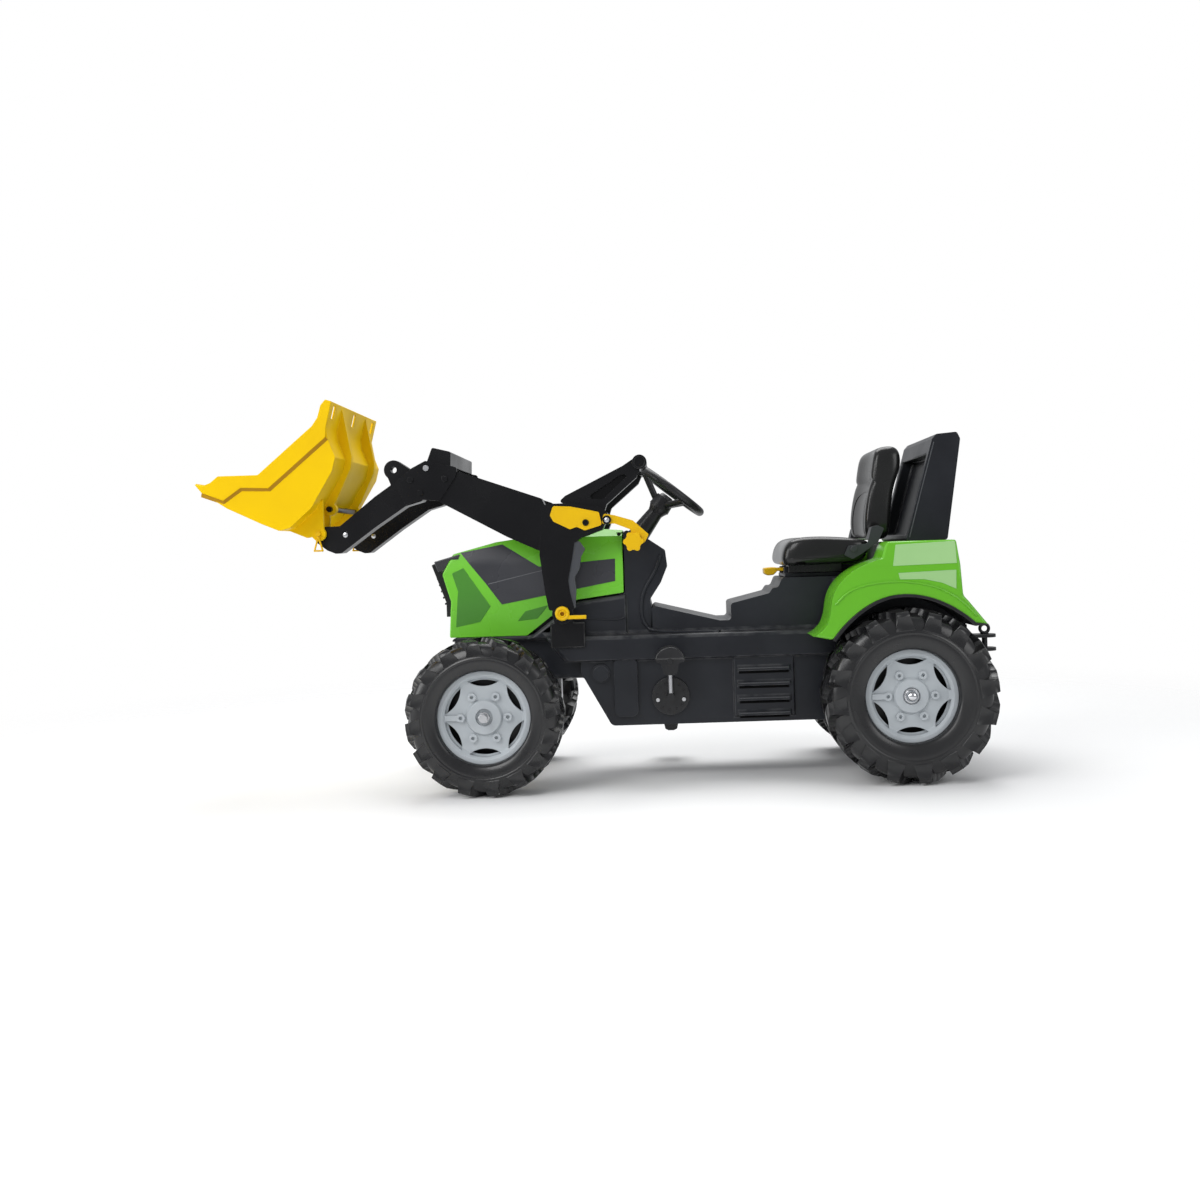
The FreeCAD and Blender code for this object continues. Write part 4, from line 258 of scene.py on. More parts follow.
rub_group, rub_in, rub_out = value_group("edge_rub", ["Edge", "Amount"], ["Mask"])
rub_noise = added(rub_group, "ShaderNodeTexNoise", {"Scale": 38.0, "Detail": 5.0})
rub_break = added(rub_group, "ShaderNodeMapRange", {"From Min": 0.38, "From Max": 0.62})
rub_edge = added(rub_group, "ShaderNodeMath", operation="MULTIPLY")
rub_much = added(rub_group, "ShaderNodeMath", operation="MULTIPLY")
joined(
    rub_group, (rub_in, "Place", rub_noise, "Vector"), (rub_noise, "Fac", rub_break, "Value"),
    (rub_break, "Result", rub_edge, 0), (rub_in, "Edge", rub_edge, 1), (rub_edge, 0, rub_much, 0),
    (rub_in, "Amount", rub_much, 1), (rub_much, 0, rub_out, "Mask"))

dust_group, dust_in, dust_out = value_group("settled_dust", ["Amount"], ["Mask"])
dust_facing = added(dust_group, "ShaderNodeNewGeometry")
dust_up = added(dust_group, "ShaderNodeSeparateXYZ")
dust_flat = added(dust_group, "ShaderNodeMapRange", {"From Min": 0.55, "From Max": 1.0})
dust_noise = added(dust_group, "ShaderNodeTexNoise", {"Scale": 14.0, "Detail": 6.0})
dust_lie = added(dust_group, "ShaderNodeMath", operation="MULTIPLY")
dust_much = added(dust_group, "ShaderNodeMath", operation="MULTIPLY")
joined(
    dust_group, (dust_facing, "Normal", dust_up, 0), (dust_up, "Z", dust_flat, "Value"),
    (dust_in, "Place", dust_noise, "Vector"), (dust_flat, "Result", dust_lie, 0),
    (dust_noise, "Fac", dust_lie, 1), (dust_lie, 0, dust_much, 0), (dust_in, "Amount", dust_much, 1),
    (dust_much, 0, dust_out, "Mask"))


def grouped(tree, group, values):
    """One use of a shader group."""
    node = tree.nodes.new("ShaderNodeGroup")
    node.node_tree = group
    return fitted(node, values)


def moulded(name, colour, shade, rough, grain_scale=900.0, relief=0.12, specular=0.4, rubbed=0.35,
            dust=0.05):
    """A moulded plastic: clouded colour, fine grain, paler rubbed edges and a trace of dust."""
    material, tree, shader = blank_material(name)
    fitted(shader, {"Specular IOR Level": specular})
    pale = tuple(RUB_SHARE * part + RUB_PALE for part in colour)
    place = added(tree, "ShaderNodeTexCoord")
    edge = added(tree, "ShaderNodeAttribute")
    edge.attribute_name = "rub"
    grain = grouped(tree, grain_group, {"Grain Scale": grain_scale, "Cloud Scale": CLOUD_SCALE})
    rub = grouped(tree, rub_group, {"Amount": rubbed})
    film = grouped(tree, dust_group, {"Amount": dust})
    clouded = added(tree, "ShaderNodeMixRGB", {"Color1": (*colour, 1.0), "Color2": (*shade, 1.0)})
    worn = added(tree, "ShaderNodeMixRGB", {"Color2": (*pale, 1.0)})
    dusty = added(tree, "ShaderNodeMixRGB", {"Color2": DUST_COLOUR})
    sheen = added(tree, "ShaderNodeMapRange", {"To Min": rough - SHEEN_LESS, "To Max": rough + SHEEN_MORE})
    bump = added(tree, "ShaderNodeBump", {"Strength": relief, "Distance": GRAIN_HEIGHT})
    joined(
        tree, (place, "Object", grain, "Place"), (place, "Object", rub, "Place"),
        (place, "Object", film, "Place"), (edge, "Fac", rub, "Edge"), (grain, "Cloud", clouded, "Fac"),
        (rub, "Mask", worn, "Fac"), (clouded, 0, worn, "Color1"), (film, "Mask", dusty, "Fac"),
        (worn, 0, dusty, "Color1"), (dusty, 0, shader, "Base Color"), (grain, "Cloud", sheen, "Value"),
        (sheen, "Result", shader, "Roughness"), (grain, "Height", bump, "Height"),
        (bump, "Normal", shader, "Normal"))
    return material


def settle(piece):
    """Turns a piece and its modifiers into one plain mesh."""
    graph = bpy.context.evaluated_depsgraph_get()
    made = bpy.data.meshes.new_from_object(piece.evaluated_get(graph))
    piece.modifiers.clear()
    spent = piece.data
    piece.data = made
    bpy.data.meshes.remove(spent)


def mark_edges(mesh):
    """Keeps where the rounded edges are, for the rubbed look, and leaves one material on the mesh."""
    rub = mesh.attributes.new("rub", "FLOAT", "CORNER")
    for face in mesh.polygons:
        share = 1.0 if face.material_index == 1 else 0.0
        for corner in face.loop_indices:
            rub.data[corner].value = share
        face.material_index = 0


def face_reach(tree, corner, limit):
    """How far a face runs inward from one of its edges, felt just under it and just over it."""
    start = corner.vert.co
    end = corner.link_loop_next.vert.co
    normal = corner.face.normal
    inward = normal.cross(end - start).normalized()
    middle = (start + end) / 2.0 + inward * SKIM
    reach = limit
    for side in (-SKIM, SKIM):
        far = tree.ray_cast(middle + normal * side, inward, limit)[3]
        if far is not None:
            reach = min(reach, far)
    return reach


def edge_room(tree, edge, limit):
    """The largest rounding that an edge takes before its faces would fold over."""
    room = limit
    for corner in edge.link_loops:
        room = min(room, face_reach(tree, corner, limit / ROOM_SHARE) * ROOM_SHARE)
        for point in (corner, corner.link_loop_next):
            turn = math.pi - point.calc_angle()
            if point.is_convex and turn > FLAT_ANGLE:
                room = min(room, edge.calc_length() * ROOM_SHARE / math.tan(turn / 2.0))
    return room


def even_rooms(rooms):
    """Gives edges that run on into each other the smallest room among them."""
    for edge in sorted(rooms, key=rooms.get):
        found = [edge]
        while found:
            here = found.pop()
            for point in here.verts:
                come = (point.co - here.other_vert(point).co).normalized()
                for other in point.link_edges:
                    if rooms.get(other, 0.0) <= rooms[edge]:
                        continue
                    leave = (other.other_vert(point).co - point.co).normalized()
                    if come.dot(leave) > RUN_ON:
                        rooms[other] = rooms[edge]
                        found.append(other)


def flat_region(seed):
    """The faces that lie in one plane with a face and hang together with it."""
    region = {seed}
    waiting = [seed]
    while waiting:
        for edge in waiting.pop().edges:
            for face in edge.link_faces:
                level = abs(face.normal.dot(seed.normal)) > LEVEL
                if level and face.material_index == 0 and face not in region:
                    region.add(face)
                    waiting.append(face)
    return region


def fill_again(mesh):
    """Fills each flat face anew in which the rounding has folded a thin triangle over."""
    shape = bmesh.new()
    shape.from_mesh(mesh)
    strength = shape.faces.layers.int.get(STRENGTH_NAME)
    folded = [edge for edge in shape.edges if edge.is_manifold and edge.calc_face_angle(0.0) > FOLDED]
    for edge in folded:
        if not edge.is_valid or edge.calc_face_angle(0.0) <= FOLDED:
            continue
        seed = max(edge.link_faces, key=bmesh.types.BMFace.calc_area)
        region = flat_region(seed)
        normal = sum((face.normal * face.calc_area() for face in region), Vector()).normalized()
        known = seed[strength]
        sides = [side for face in region for side in face.edges]
        rim = [side for side in sides if len(region.intersection(side.link_faces)) == 1]
        bmesh.ops.delete(shape, geom=list(region), context="FACES")
        filled = bmesh.ops.triangle_fill(shape, use_beauty=True, edges=rim, normal=normal)
        for face in filled["geom"]:
            if isinstance(face, bmesh.types.BMFace):
                face.smooth = True
                face[strength] = known
                if face.normal.dot(normal) < 0.0:
                    face.normal_flip()
    shape.to_mesh(mesh)
    shape.free()


def round_edges(piece, rounding, segments=2):
    """Rounds every hard edge, less where its faces are narrow. The rounded faces take slot 1."""
    for slot in range(2):
        piece.data.materials.append(None)
    shape = bmesh.new()
    shape.from_mesh(piece.data)
    weight = shape.edges.layers.float.new("bevel_weight_edge")
    tree = BVHTree.FromBMesh(shape)
    hard = [edge for edge in shape.edges if edge.is_manifold and edge.calc_face_angle(0.0) >= HARD_ANGLE]
    rooms = {edge: edge_room(tree, edge, rounding) / rounding for edge in hard}
    even_rooms(rooms)
    many_sided = [face for face in shape.faces if len(face.verts) > 4]
    bmesh.ops.triangulate(shape, faces=many_sided)
    for edge in shape.edges:
        edge[weight] = rooms.get(edge, 0.0)
    shape.to_mesh(piece.data)
    shape.free()
    piece.data.shade_smooth()
    bevel = piece.modifiers.new("rounding", "BEVEL")
    bevel.limit_method = "WEIGHT"
    bevel.width = rounding
    bevel.segments = segments
    bevel.use_clamp_overlap = False
    bevel.loop_slide = False
    bevel.material = 1
    bevel.face_strength_mode = "FSTR_ALL"
    settle(piece)
    fill_again(piece.data)
    level = piece.modifiers.new("level", "WEIGHTED_NORMAL")
    level.keep_sharp = True
    level.use_face_influence = True
    settle(piece)


def dressed(piece, material, body):
    """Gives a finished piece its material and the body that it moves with."""
    piece.data.materials.clear()
    piece.data.materials.append(material)
    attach(piece, body)
    return piece


def rounded(piece, rounding, segments=2):
    """Rounds a piece and keeps the mark of its rounded edges."""
    round_edges(piece, rounding, segments)
    mark_edges(piece.data)
    return piece


def solid_copy(node):
    """A merged copy of a solid's mesh, with its flat faces whole again."""
    shape = bmesh.new()
    shape.from_mesh(frame["nodes"][node].data)
    bmesh.ops.remove_doubles(shape, verts=shape.verts, dist=WELD)
    bmesh.ops.dissolve_limit(shape, angle_limit=FLAT_ANGLE, verts=shape.verts, edges=shape.edges)
    for face in shape.faces:
        face.material_index = 0
    return shape


def softened(node, rounding, material, segments=2):
    """A copy of a solid with its hard edges rounded, which stands for it and moves with it."""
    piece = rounded(linked(node + "_skin", solid_copy(node)), rounding, segments)
    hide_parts(node)
    return dressed(piece, material, frame["nodes"][node]["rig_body"])


def grower(name, inputs):
    """An empty geometry node tree: a shape, named sizes and a finish go in, a shape comes out."""
    tree = bpy.data.node_groups.new(name, "GeometryNodeTree")
    sockets = {"Shape": "Geometry", **inputs, "Finish": "Material"}
    for label, kind in sockets.items():
        tree.interface.new_socket(label, in_out="INPUT", socket_type="NodeSocket" + kind)
    tree.interface.new_socket("Shape", in_out="OUTPUT", socket_type="NodeSocketGeometry")
    return tree, added(tree, "NodeGroupInput"), added(tree, "NodeGroupOutput")


def closing(tree, last, group_in, group_out):
    """Ends a tree: its copies become real and take the finish."""
    real = added(tree, "GeometryNodeRealizeInstances")
    finish = added(tree, "GeometryNodeSetMaterial")
    joined(
        tree, (last, 0, real, 0), (real, 0, finish, "Geometry"), (group_in, "Finish", finish, "Material"),
        (finish, "Geometry", group_out, "Shape"))


def grown(name, tree, shape, sizes):
    """Runs a tree on a shape with these sizes and keeps the result as a plain mesh."""
    piece = linked(name, shape)
    grow = piece.modifiers.new("grow", "NODES")
    grow.node_group = tree
    for socket in tree.interface.items_tree:
        if socket.in_out == "INPUT" and socket.name in sizes:
            grow[socket.identifier] = sizes[socket.name]
    settle(piece)
    return piece


bead_tree, bead_in, bead_out = grower("bead_along_path", {"Half Width": "Float"})
bead_path = added(bead_tree, "GeometryNodeMeshToCurve")
bead_round = added(bead_tree, "GeometryNodeCurvePrimitiveCircle", {"Resolution": BEAD_SIDES})
bead_skin = added(bead_tree, "GeometryNodeCurveToMesh", {"Fill Caps": True})
joined(
    bead_tree, (bead_in, "Shape", bead_path, "Mesh"), (bead_in, "Half Width", bead_round, "Radius"),
    (bead_path, "Curve", bead_skin, "Curve"), (bead_round, "Curve", bead_skin, "Profile Curve"))
closing(bead_tree, bead_skin, bead_in, bead_out)


def skin_tree(piece):
    """A search tree over the faces of a finished skin."""
    shape = bmesh.new()
    shape.from_mesh(piece.data)
    tree = BVHTree.FromBMesh(shape)
    shape.free()
    return tree


def dropped(tree, look, across, up):
    """The first point of a skin on a straight look at it."""
    toward = LOOKS[look]
    if look in ("left", "right"):
        start = Vector((across, 0.0, up))
    elif look == "top":
        start = Vector((across, up, 0.0))
    else:
        start = Vector((0.0, across, up))
    met = tree.ray_cast(start - toward * LOOK_FROM, toward)
    if met[0] is None:
        raise ValueError("nothing at %s %.3f %.3f" % (look, across, up))
    return met[0]


def eased(points):
    """A path with its corners cut, two times over, and its ends kept."""
    for cut in range(2):
        path = [Vector(points[0])]
        for first, second in zip(points, points[1:]):
            first, second = Vector(first), Vector(second)
            path += [first.lerp(second, CORNER_CUT), first.lerp(second, 1.0 - CORNER_CUT)]
        points = path + [Vector(points[-1])]
    return points


def laid_bead(name, skin, paths, look, half_width, material, slot):
    """Thin round beads that follow paths on a skin, half sunk in it."""
    tree = skin_tree(skin)
    shape = bmesh.new()
    for points in paths:
        spots = []
        for first, second in zip(eased(points), eased(points)[1:]):
            steps = max(1, round((second - first).length / BEAD_STEP))
            spots += [first.lerp(second, step / steps) for step in range(steps)]
        spots.append(Vector(points[-1]))
        chain = [shape.verts.new(dropped(tree, look, spot.x, spot.y)) for spot in spots]
        for first, second in zip(chain, chain[1:]):
            shape.edges.new((first, second))
    piece = grown(name, bead_tree, shape, {"Half Width": half_width, "Finish": material})
    piece.data.shade_smooth()
    return dressed(piece, material, skin["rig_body"])


def on_sides(lay, name, skin, path, size, material, slot):
    """Lays the same bead or plate on the left and on the right of a skin."""
    for side_name in SIDES:
        lay(name + "_" + side_name, skin, path, side_name, size, material, slot)


def thickened(shape, faces, way):
    """Pulls faces out into a closed body."""
    pulled = bmesh.ops.extrude_face_region(shape, geom=faces)
    moved = [part for part in pulled["geom"] if isinstance(part, bmesh.types.BMVert)]
    bmesh.ops.translate(shape, verts=moved, vec=way)
    bmesh.ops.recalc_face_normals(shape, faces=shape.faces)


def laid_plate(name, skin, outline, look, proud, material, slot):
    """A thin plate on a skin: cut small, dropped on the skin, thickened and eased at its edges."""
    tree = skin_tree(skin)
    shape = bmesh.new()
    shape.faces.new([shape.verts.new((across, up, 0.0)) for across, up in outline])
    for axis in range(2):
        normal = Vector((1.0 - axis, axis, 0.0))
        low = min(point[axis] for point in outline)
        high = max(point[axis] for point in outline)
        rows = round((high - low) / PLATE_GRID)
        for row in range(1, rows):
            every = shape.verts[:] + shape.edges[:] + shape.faces[:]
            place = normal * (low + (high - low) * row / rows)
            bmesh.ops.bisect_plane(shape, geom=every, plane_co=place, plane_no=normal)
    bmesh.ops.remove_doubles(shape, verts=shape.verts, dist=PLATE_WELD)
    toward = LOOKS[look]
    for point in shape.verts:
        point.co = dropped(tree, look, point.co.x, point.co.y) + toward * PLATE_SUNK
    thickened(shape, shape.faces[:], toward * -(PLATE_SUNK + proud))
    piece = rounded(linked(name, shape), min(PLATE_ROUNDING, proud * PLATE_ROUND_SHARE), 1)
    return dressed(piece, material, skin["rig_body"])


def upright_plate(name, outline, ends, rounding, material, body):
    """A plate cut to a side outline that reaches across between two ends, with rounded edges."""
    inner, outer = ends
    shape = bmesh.new()
    side_face = shape.faces.new([shape.verts.new((along, inner, up)) for along, up in outline])
    thickened(shape, [side_face], (0.0, outer - inner, 0.0))
    return dressed(rounded(linked(name, shape), rounding), material, body)


def spun(shape, chain, edges, axis, steps):
    """Spins a chain of points once around an axis through the origin and welds what meets."""
    bmesh.ops.spin(
        shape, geom=chain + edges, cent=(0.0, 0.0, 0.0), axis=axis, angle=math.tau, steps=steps)
    bmesh.ops.remove_doubles(shape, verts=shape.verts, dist=WELD)


def turned(name, half_outline, place, facing, steps=24):
    """A closed round form spun from its half outline of radius and height pairs, stood on a face."""
    shape = bmesh.new()
    chain = [shape.verts.new((radius, 0.0, height)) for radius, height in half_outline]
    edges = [shape.edges.new(pair) for pair in zip(chain, chain[1:])]
    spun(shape, chain, edges, (0.0, 0.0, 1.0), steps)
    bmesh.ops.holes_fill(shape, edges=shape.edges)
    bmesh.ops.recalc_face_normals(shape, faces=shape.faces)
    stand = Vector((0.0, 0.0, 1.0)).rotation_difference(Vector(facing)).to_matrix().to_4x4()
    bmesh.ops.transform(shape, matrix=Matrix.Translation(Vector(place)) @ stand, verts=shape.verts)
    piece = linked(name, shape)
    piece.data.shade_smooth()
    piece.data.set_sharp_from_angle(angle=SMOOTH_ANGLE)
    return piece


def louvre_lines(lowest):
    """One line along each rib of the louvre, from the lowest rib up."""
    heights = [lowest + LOUVRE_PITCH * rib for rib in range(LOUVRE_RIBS)]
    return [[(LOUVRE_FROM, height), (LOUVRE_TO, height)] for height in heights]


black_hull = moulded(
    "black_hull_plastic", (0.012, 0.013, 0.017), (0.018, 0.020, 0.025), 0.36, specular=0.28)
# Glossy beads on the louvre crests, paler than the hull: the gloss is real, the paler colour is a painted
# highlight.
crest_highlight_black = moulded(
    "louvre_crest_painted_highlight", (0.030, 0.032, 0.038), (0.038, 0.040, 0.046), 0.20, specular=0.9)
# Near-black matte plastic for the painted shadow under the louvre ribs.
shadow_black = moulded(
    "louvre_painted_shadow", (0.002, 0.002, 0.002), (0.003, 0.003, 0.003), 0.70, specular=0.05)
hull_skin = softened("main_frame", HULL_EDGE, black_hull, segments=3)
on_sides(laid_bead, "dash_groove", hull_skin, [DASH_GROOVE], GROOVE_HALF, black_hull, "hull")
on_sides(laid_bead, "panel_seam", hull_skin, [PANEL_SEAM], SEAM_HALF, black_hull, "hull")
on_sides(laid_bead, "louvre_crests", hull_skin, louvre_lines(CREST_LOW), CREST_HALF, crest_highlight_black, "hull")
# The near-black matte beads under the ribs are painted shadow, for the shade in the ribs' undercut.
on_sides(laid_bead, "louvre_gaps", hull_skin, louvre_lines(SHADOW_LOW), SHADOW_HALF, shadow_black, "hull")
softened("hull_plugs", THICK_EDGE, black_hull, segments=3)
upright_plate("dash_ledge", LEDGE_OUTLINE, LEDGE_ENDS, SHEET_EDGE, black_hull, "chassis")
upright_plate("engine_bay_wall", BAY_OUTLINE, BAY_ENDS, SHEET_EDGE, black_hull, "chassis")

# Rear axle: a steel rod in two plastic bushes, with the rear sprocket pressed on.
# The crank sprocket drives it by a roller chain. All of this lies inside the hull.
ROD_EDGE = 0.0008
TOOTH_EDGE = 0.0004
CHAIN_EDGE = 0.0006
STEEL_GRAIN = 160.0
STEEL_CLOUD = 20.0
STEEL_PALE = (1.0, 1.0, 1.02)
STEEL_DARK = (0.82, 0.83, 0.86)
STEEL_SMOOTHER = 0.06
STEEL_ROUGHER = 0.10


def rolled_steel(name, tone, rough, stretch_along):
    """Bare rolled steel with fine draw lines along the given axis."""
    material, tree, shader = blank_material(name)
    fitted(shader, {"Metallic": 1.0})
    pale = (*(tone * part for part in STEEL_PALE), 1.0)
    dark = (*(tone * part for part in STEEL_DARK), 1.0)
    place = added(tree, "ShaderNodeTexCoord")
    turn = added(tree, "ShaderNodeMapping", {"Scale": stretch_along})
    grain = grouped(tree, grain_group, {"Grain Scale": STEEL_GRAIN, "Cloud Scale": STEEL_CLOUD})
    tint = added(tree, "ShaderNodeMixRGB", {"Color1": pale, "Color2": dark})
    sheen = added(
        tree, "ShaderNodeMapRange", {"To Min": rough - STEEL_SMOOTHER, "To Max": rough + STEEL_ROUGHER})
    joined(
        tree, (place, "Object", turn, "Vector"), (turn, "Vector", grain, "Place"),
        (grain, "Cloud", tint, "Fac"), (tint, 0, shader, "Base Color"), (grain, "Height", sheen, "Value"),
        (sheen, "Result", shader, "Roughness"))
    return material


bright_steel = rolled_steel("bright_steel", 0.62, 0.30, (1.0, 0.06, 1.0))
chain_steel = rolled_steel("oiled_chain_steel", 0.26, 0.38, (1.0, 1.0, 1.0))
softened("rear_axle", ROD_EDGE, bright_steel)
softened("axle_bushes", ROD_EDGE, black_hull)
softened("rear_sprocket", TOOTH_EDGE, chain_steel)
softened("crank_sprocket", TOOTH_EDGE, chain_steel)
softened("drive_chain", CHAIN_EDGE, chain_steel)

# Crank: a bent steel rod in two round bearing plates that are screwed on the hull.
# Black caps cover its ends and its middle, so only the two arms show bare steel.
# Each plate has a ring of small dimples, and each end of the rod carries a black pedal with a domed top.
PLATE_EDGE = 0.0012
CRANK_PLACE = (0.117, 0.119, 0.176)
CRANK_BARE = (0.012, 0.066)
DIMPLES = 12
DIMPLE_RING = 0.029
DIMPLE_TURN = 0.13
DIMPLE_STEPS = 12
DIMPLE_OUTLINE = [(0.0, 0.0001), (0.0017, 0.0001), (0.0020, 0.0008), (0.0027, 0.0008), (0.0031, -0.0005)]
PEDAL_HEIGHT = {"left": 0.2555, "right": 0.0955}
DOME_HALF = (0.0305, 0.0285)
DOME_ENDS = (0.1425, 0.2035)
DOME_STEPS = 14
DOME_EDGE = 0.007
black_trim = moulded(
    "black_trim_plastic", (0.010, 0.010, 0.011), (0.016, 0.016, 0.018), 0.34, relief=0.07)
softened("crank_bearings", PLATE_EDGE, black_trim)


def part_finish(piece, material, picked):
    """Gives a second material to the faces whose middle is picked."""
    piece.data.materials.append(material)
    for face in piece.data.polygons:
        if picked(face.center):
            face.material_index = 1


crank_skin = softened("crank_shaft", ROD_EDGE, bright_steel)
bare_from, bare_to = CRANK_BARE
part_finish(crank_skin, black_trim, lambda spot: not bare_from < abs(spot.z - CRANK_PLACE[2]) < bare_to)

ring_tree, ring_in, ring_out = grower(
    "ring_about_axle", {"Count": "Int", "First Turn": "Float", "Axle": "Vector"})
ring_spots = added(ring_tree, "GeometryNodePoints")
ring_number = added(ring_tree, "GeometryNodeInputIndex")
ring_step = added(ring_tree, "ShaderNodeMath", {0: math.tau}, "DIVIDE")
ring_turn = added(ring_tree, "ShaderNodeMath", operation="MULTIPLY_ADD")
ring_angle = added(ring_tree, "ShaderNodeCombineXYZ")
ring_copies = added(ring_tree, "GeometryNodeInstanceOnPoints")
ring_stand = added(ring_tree, "GeometryNodeTransform")
joined(
    ring_tree, (ring_in, "Count", ring_spots, "Count"), (ring_in, "Count", ring_step, 1),
    (ring_number, "Index", ring_turn, 0), (ring_step, "Value", ring_turn, 1),
    (ring_in, "First Turn", ring_turn, 2), (ring_turn, "Value", ring_angle, "Y"),
    (ring_spots, 0, ring_copies, "Points"), (ring_in, "Shape", ring_copies, "Instance"),
    (ring_angle, "Vector", ring_copies, "Rotation"), (ring_copies, 0, ring_stand, "Geometry"),
    (ring_in, "Axle", ring_stand, "Translation"))
closing(ring_tree, ring_stand, ring_in, ring_out)


def discard(piece):
    """Takes a piece and its mesh out of the scene."""
    spent = piece.data
    bpy.data.objects.remove(piece)
    bpy.data.meshes.remove(spent)


def mesh_copy(piece):
    """Takes a piece out of the scene and gives back its shape."""
    shape = bmesh.new()
    shape.from_mesh(piece.data)
    discard(piece)
    return shape


for side_name, side in SIDES.items():
    facing = (0.0, side, 0.0)
    dimple = mesh_copy(turned("dimple", DIMPLE_OUTLINE, (DIMPLE_RING, 0.0, 0.0), facing, DIMPLE_STEPS))
    crank_axle = (CRANK_PLACE[0], CRANK_PLACE[1] * side, CRANK_PLACE[2])
    dimples = grown(
        "bearing_dimples_" + side_name, ring_tree, dimple,
        {"Count": DIMPLES, "First Turn": DIMPLE_TURN, "Axle": crank_axle, "Finish": black_trim})
    dressed(dimples, black_trim, "chassis")
softened("bearing_screws", CHAIN_EDGE, bright_steel)
pedal_black = moulded(
    "pedal_plastic", (0.013, 0.013, 0.014), (0.020, 0.020, 0.022), 0.24, relief=0.05, rubbed=0.4)
for side_name, side in SIDES.items():
    softened("pedal_" + side_name, THICK_EDGE, pedal_black)
    dome_turns = [math.pi * step / DOME_STEPS for step in range(DOME_STEPS + 1)]
    dome_outline = [(CRANK_PLACE[0] + DOME_HALF[0] * math.cos(turn),
                     PEDAL_HEIGHT[side_name] + DOME_HALF[1] * math.sin(turn)) for turn in dome_turns]
    dome_ends = [side * end for end in DOME_ENDS]
    upright_plate(
        "pedal_dome_" + side_name, dome_outline, dome_ends, DOME_EDGE, pedal_black, "pedal_" + side_name)

# Front axle: a black beam across the hull rails, with a steering knuckle on each end.
# Each knuckle is moulded about a bare steel stub, and a steel tie rod links the two knuckle arms.
MOULD_EDGE = 0.002
SMALL_EDGE = 0.0015
STUB_BARE_FROM = 0.19
softened("front_axle_beam", MOULD_EDGE, black_trim)
for side_name in SIDES:
    knuckle_skin = softened("knuckle_" + side_name, SMALL_EDGE, black_trim)
    part_finish(knuckle_skin, bright_steel, lambda spot: abs(spot.y) > STUB_BARE_FROM)
softened("tie_rod", SHEET_EDGE, bright_steel)

# Wheels: a blown rubber-like tyre with tractor lugs on a grey plastic rim of two halves.
# The rim has six slots, six bolt bosses and a valve tab. A nut holds each wheel on its axle.
RIM_EDGE = 0.0016
rim_grey = moulded(
    "wheel_grey_plastic", (0.46, 0.495, 0.52), (0.39, 0.42, 0.445), 0.36, relief=0.06, rubbed=0.15)
for side_name in SIDES:
    softened("front_rim_" + side_name, RIM_EDGE, rim_grey)
    softened("stub_nut_" + side_name, SHEET_EDGE, bright_steel)
softened("rear_rims", RIM_EDGE, rim_grey)
chrome = rolled_steel("chromed_cap", 0.80, 0.12, (1.0, 1.0, 1.0))
softened("axle_nuts", SHEET_EDGE, chrome)
TYRE_STEPS = 112
TYRE_GRAIN = 700.0
tyre_black = moulded(
    "tyre_black", (0.008, 0.008, 0.009), (0.011, 0.011, 0.012), 0.28, TYRE_GRAIN, relief=0.12,
    specular=0.55)
RIM_RADIUS = 0.093
LUGS = 16
SIDEWALL_SHARES = [
    (0.66, 0.0), (0.84, 0.015), (0.90, 0.07), (0.945, 0.16), (0.985, 0.27), (0.995, 0.36), (0.992, 0.395),
    (1.010, 0.405), (1.012, 0.425), (0.992, 0.44), (0.986, 0.48), (0.950, 0.57), (0.89, 0.68),
    (0.80, 0.77), (0.70, 0.82), (0.50, 0.86), (0.30, 0.88)]
LUG_STATIONS = [
    (1.006, 0.49, 0.56), (1.006, 0.82, 0.35), (0.950, 0.94, 0.37), (0.60, 1.0, 0.38), (0.30, 1.0, 0.36),
    (0.02, 1.0, 0.34)]
LUG_FOOT_SHARES = [0.42, 0.42, 0.50, 0.74, 0.80, 0.80]
LUG_SWEEP_SHARE = 0.62
LUG_DRAFT = 0.0022
LUG_TUCK = LUG_DRAFT * 3
LUG_ROUNDING = 0.0012


def skinned(shape, rows):
    """Joins rows of points into a closed body with a face on each end."""
    count = len(rows[0])
    for first, second in zip(rows, rows[1:]):
        for number in range(count):
            after = (number + 1) % count
            shape.faces.new((first[number], first[after], second[after], second[number]))
    shape.faces.new(rows[0])
    shape.faces.new(rows[-1][::-1])
    bmesh.ops.recalc_face_normals(shape, faces=shape.faces)


def lug_shape(radius, width, side):
    """One tread bar: wide on the shoulder, narrower over the crown, swept back to the middle."""
    section = radius - RIM_RADIUS
    pitch = math.tau * radius / LUGS
    shape = bmesh.new()
    rows = []
    for (out, high, wide), foot in zip(LUG_STATIONS, LUG_FOOT_SHARES):
        sweep = pitch * LUG_SWEEP_SHARE * (1.0 - min(out, 1.0))
        half = pitch * wide / 2
        row = []
        corners = ((foot, -half - LUG_DRAFT), (high, -half), (high, half), (foot, half + LUG_DRAFT))
        for level, aside in corners:
            around = sweep + aside
            reach = RIM_RADIUS + section * level
            tuck = LUG_TUCK if level == foot and out > 1.0 else 0.0
            inward = math.sqrt(reach ** 2 - around ** 2)
            row.append(shape.verts.new((inward, side * (width / 2 * out - tuck), around)))
        rows.append(row)
    skinned(shape, rows)
    piece = linked("lug", shape)
    round_edges(piece, LUG_ROUNDING, 1)
    return mesh_copy(piece)


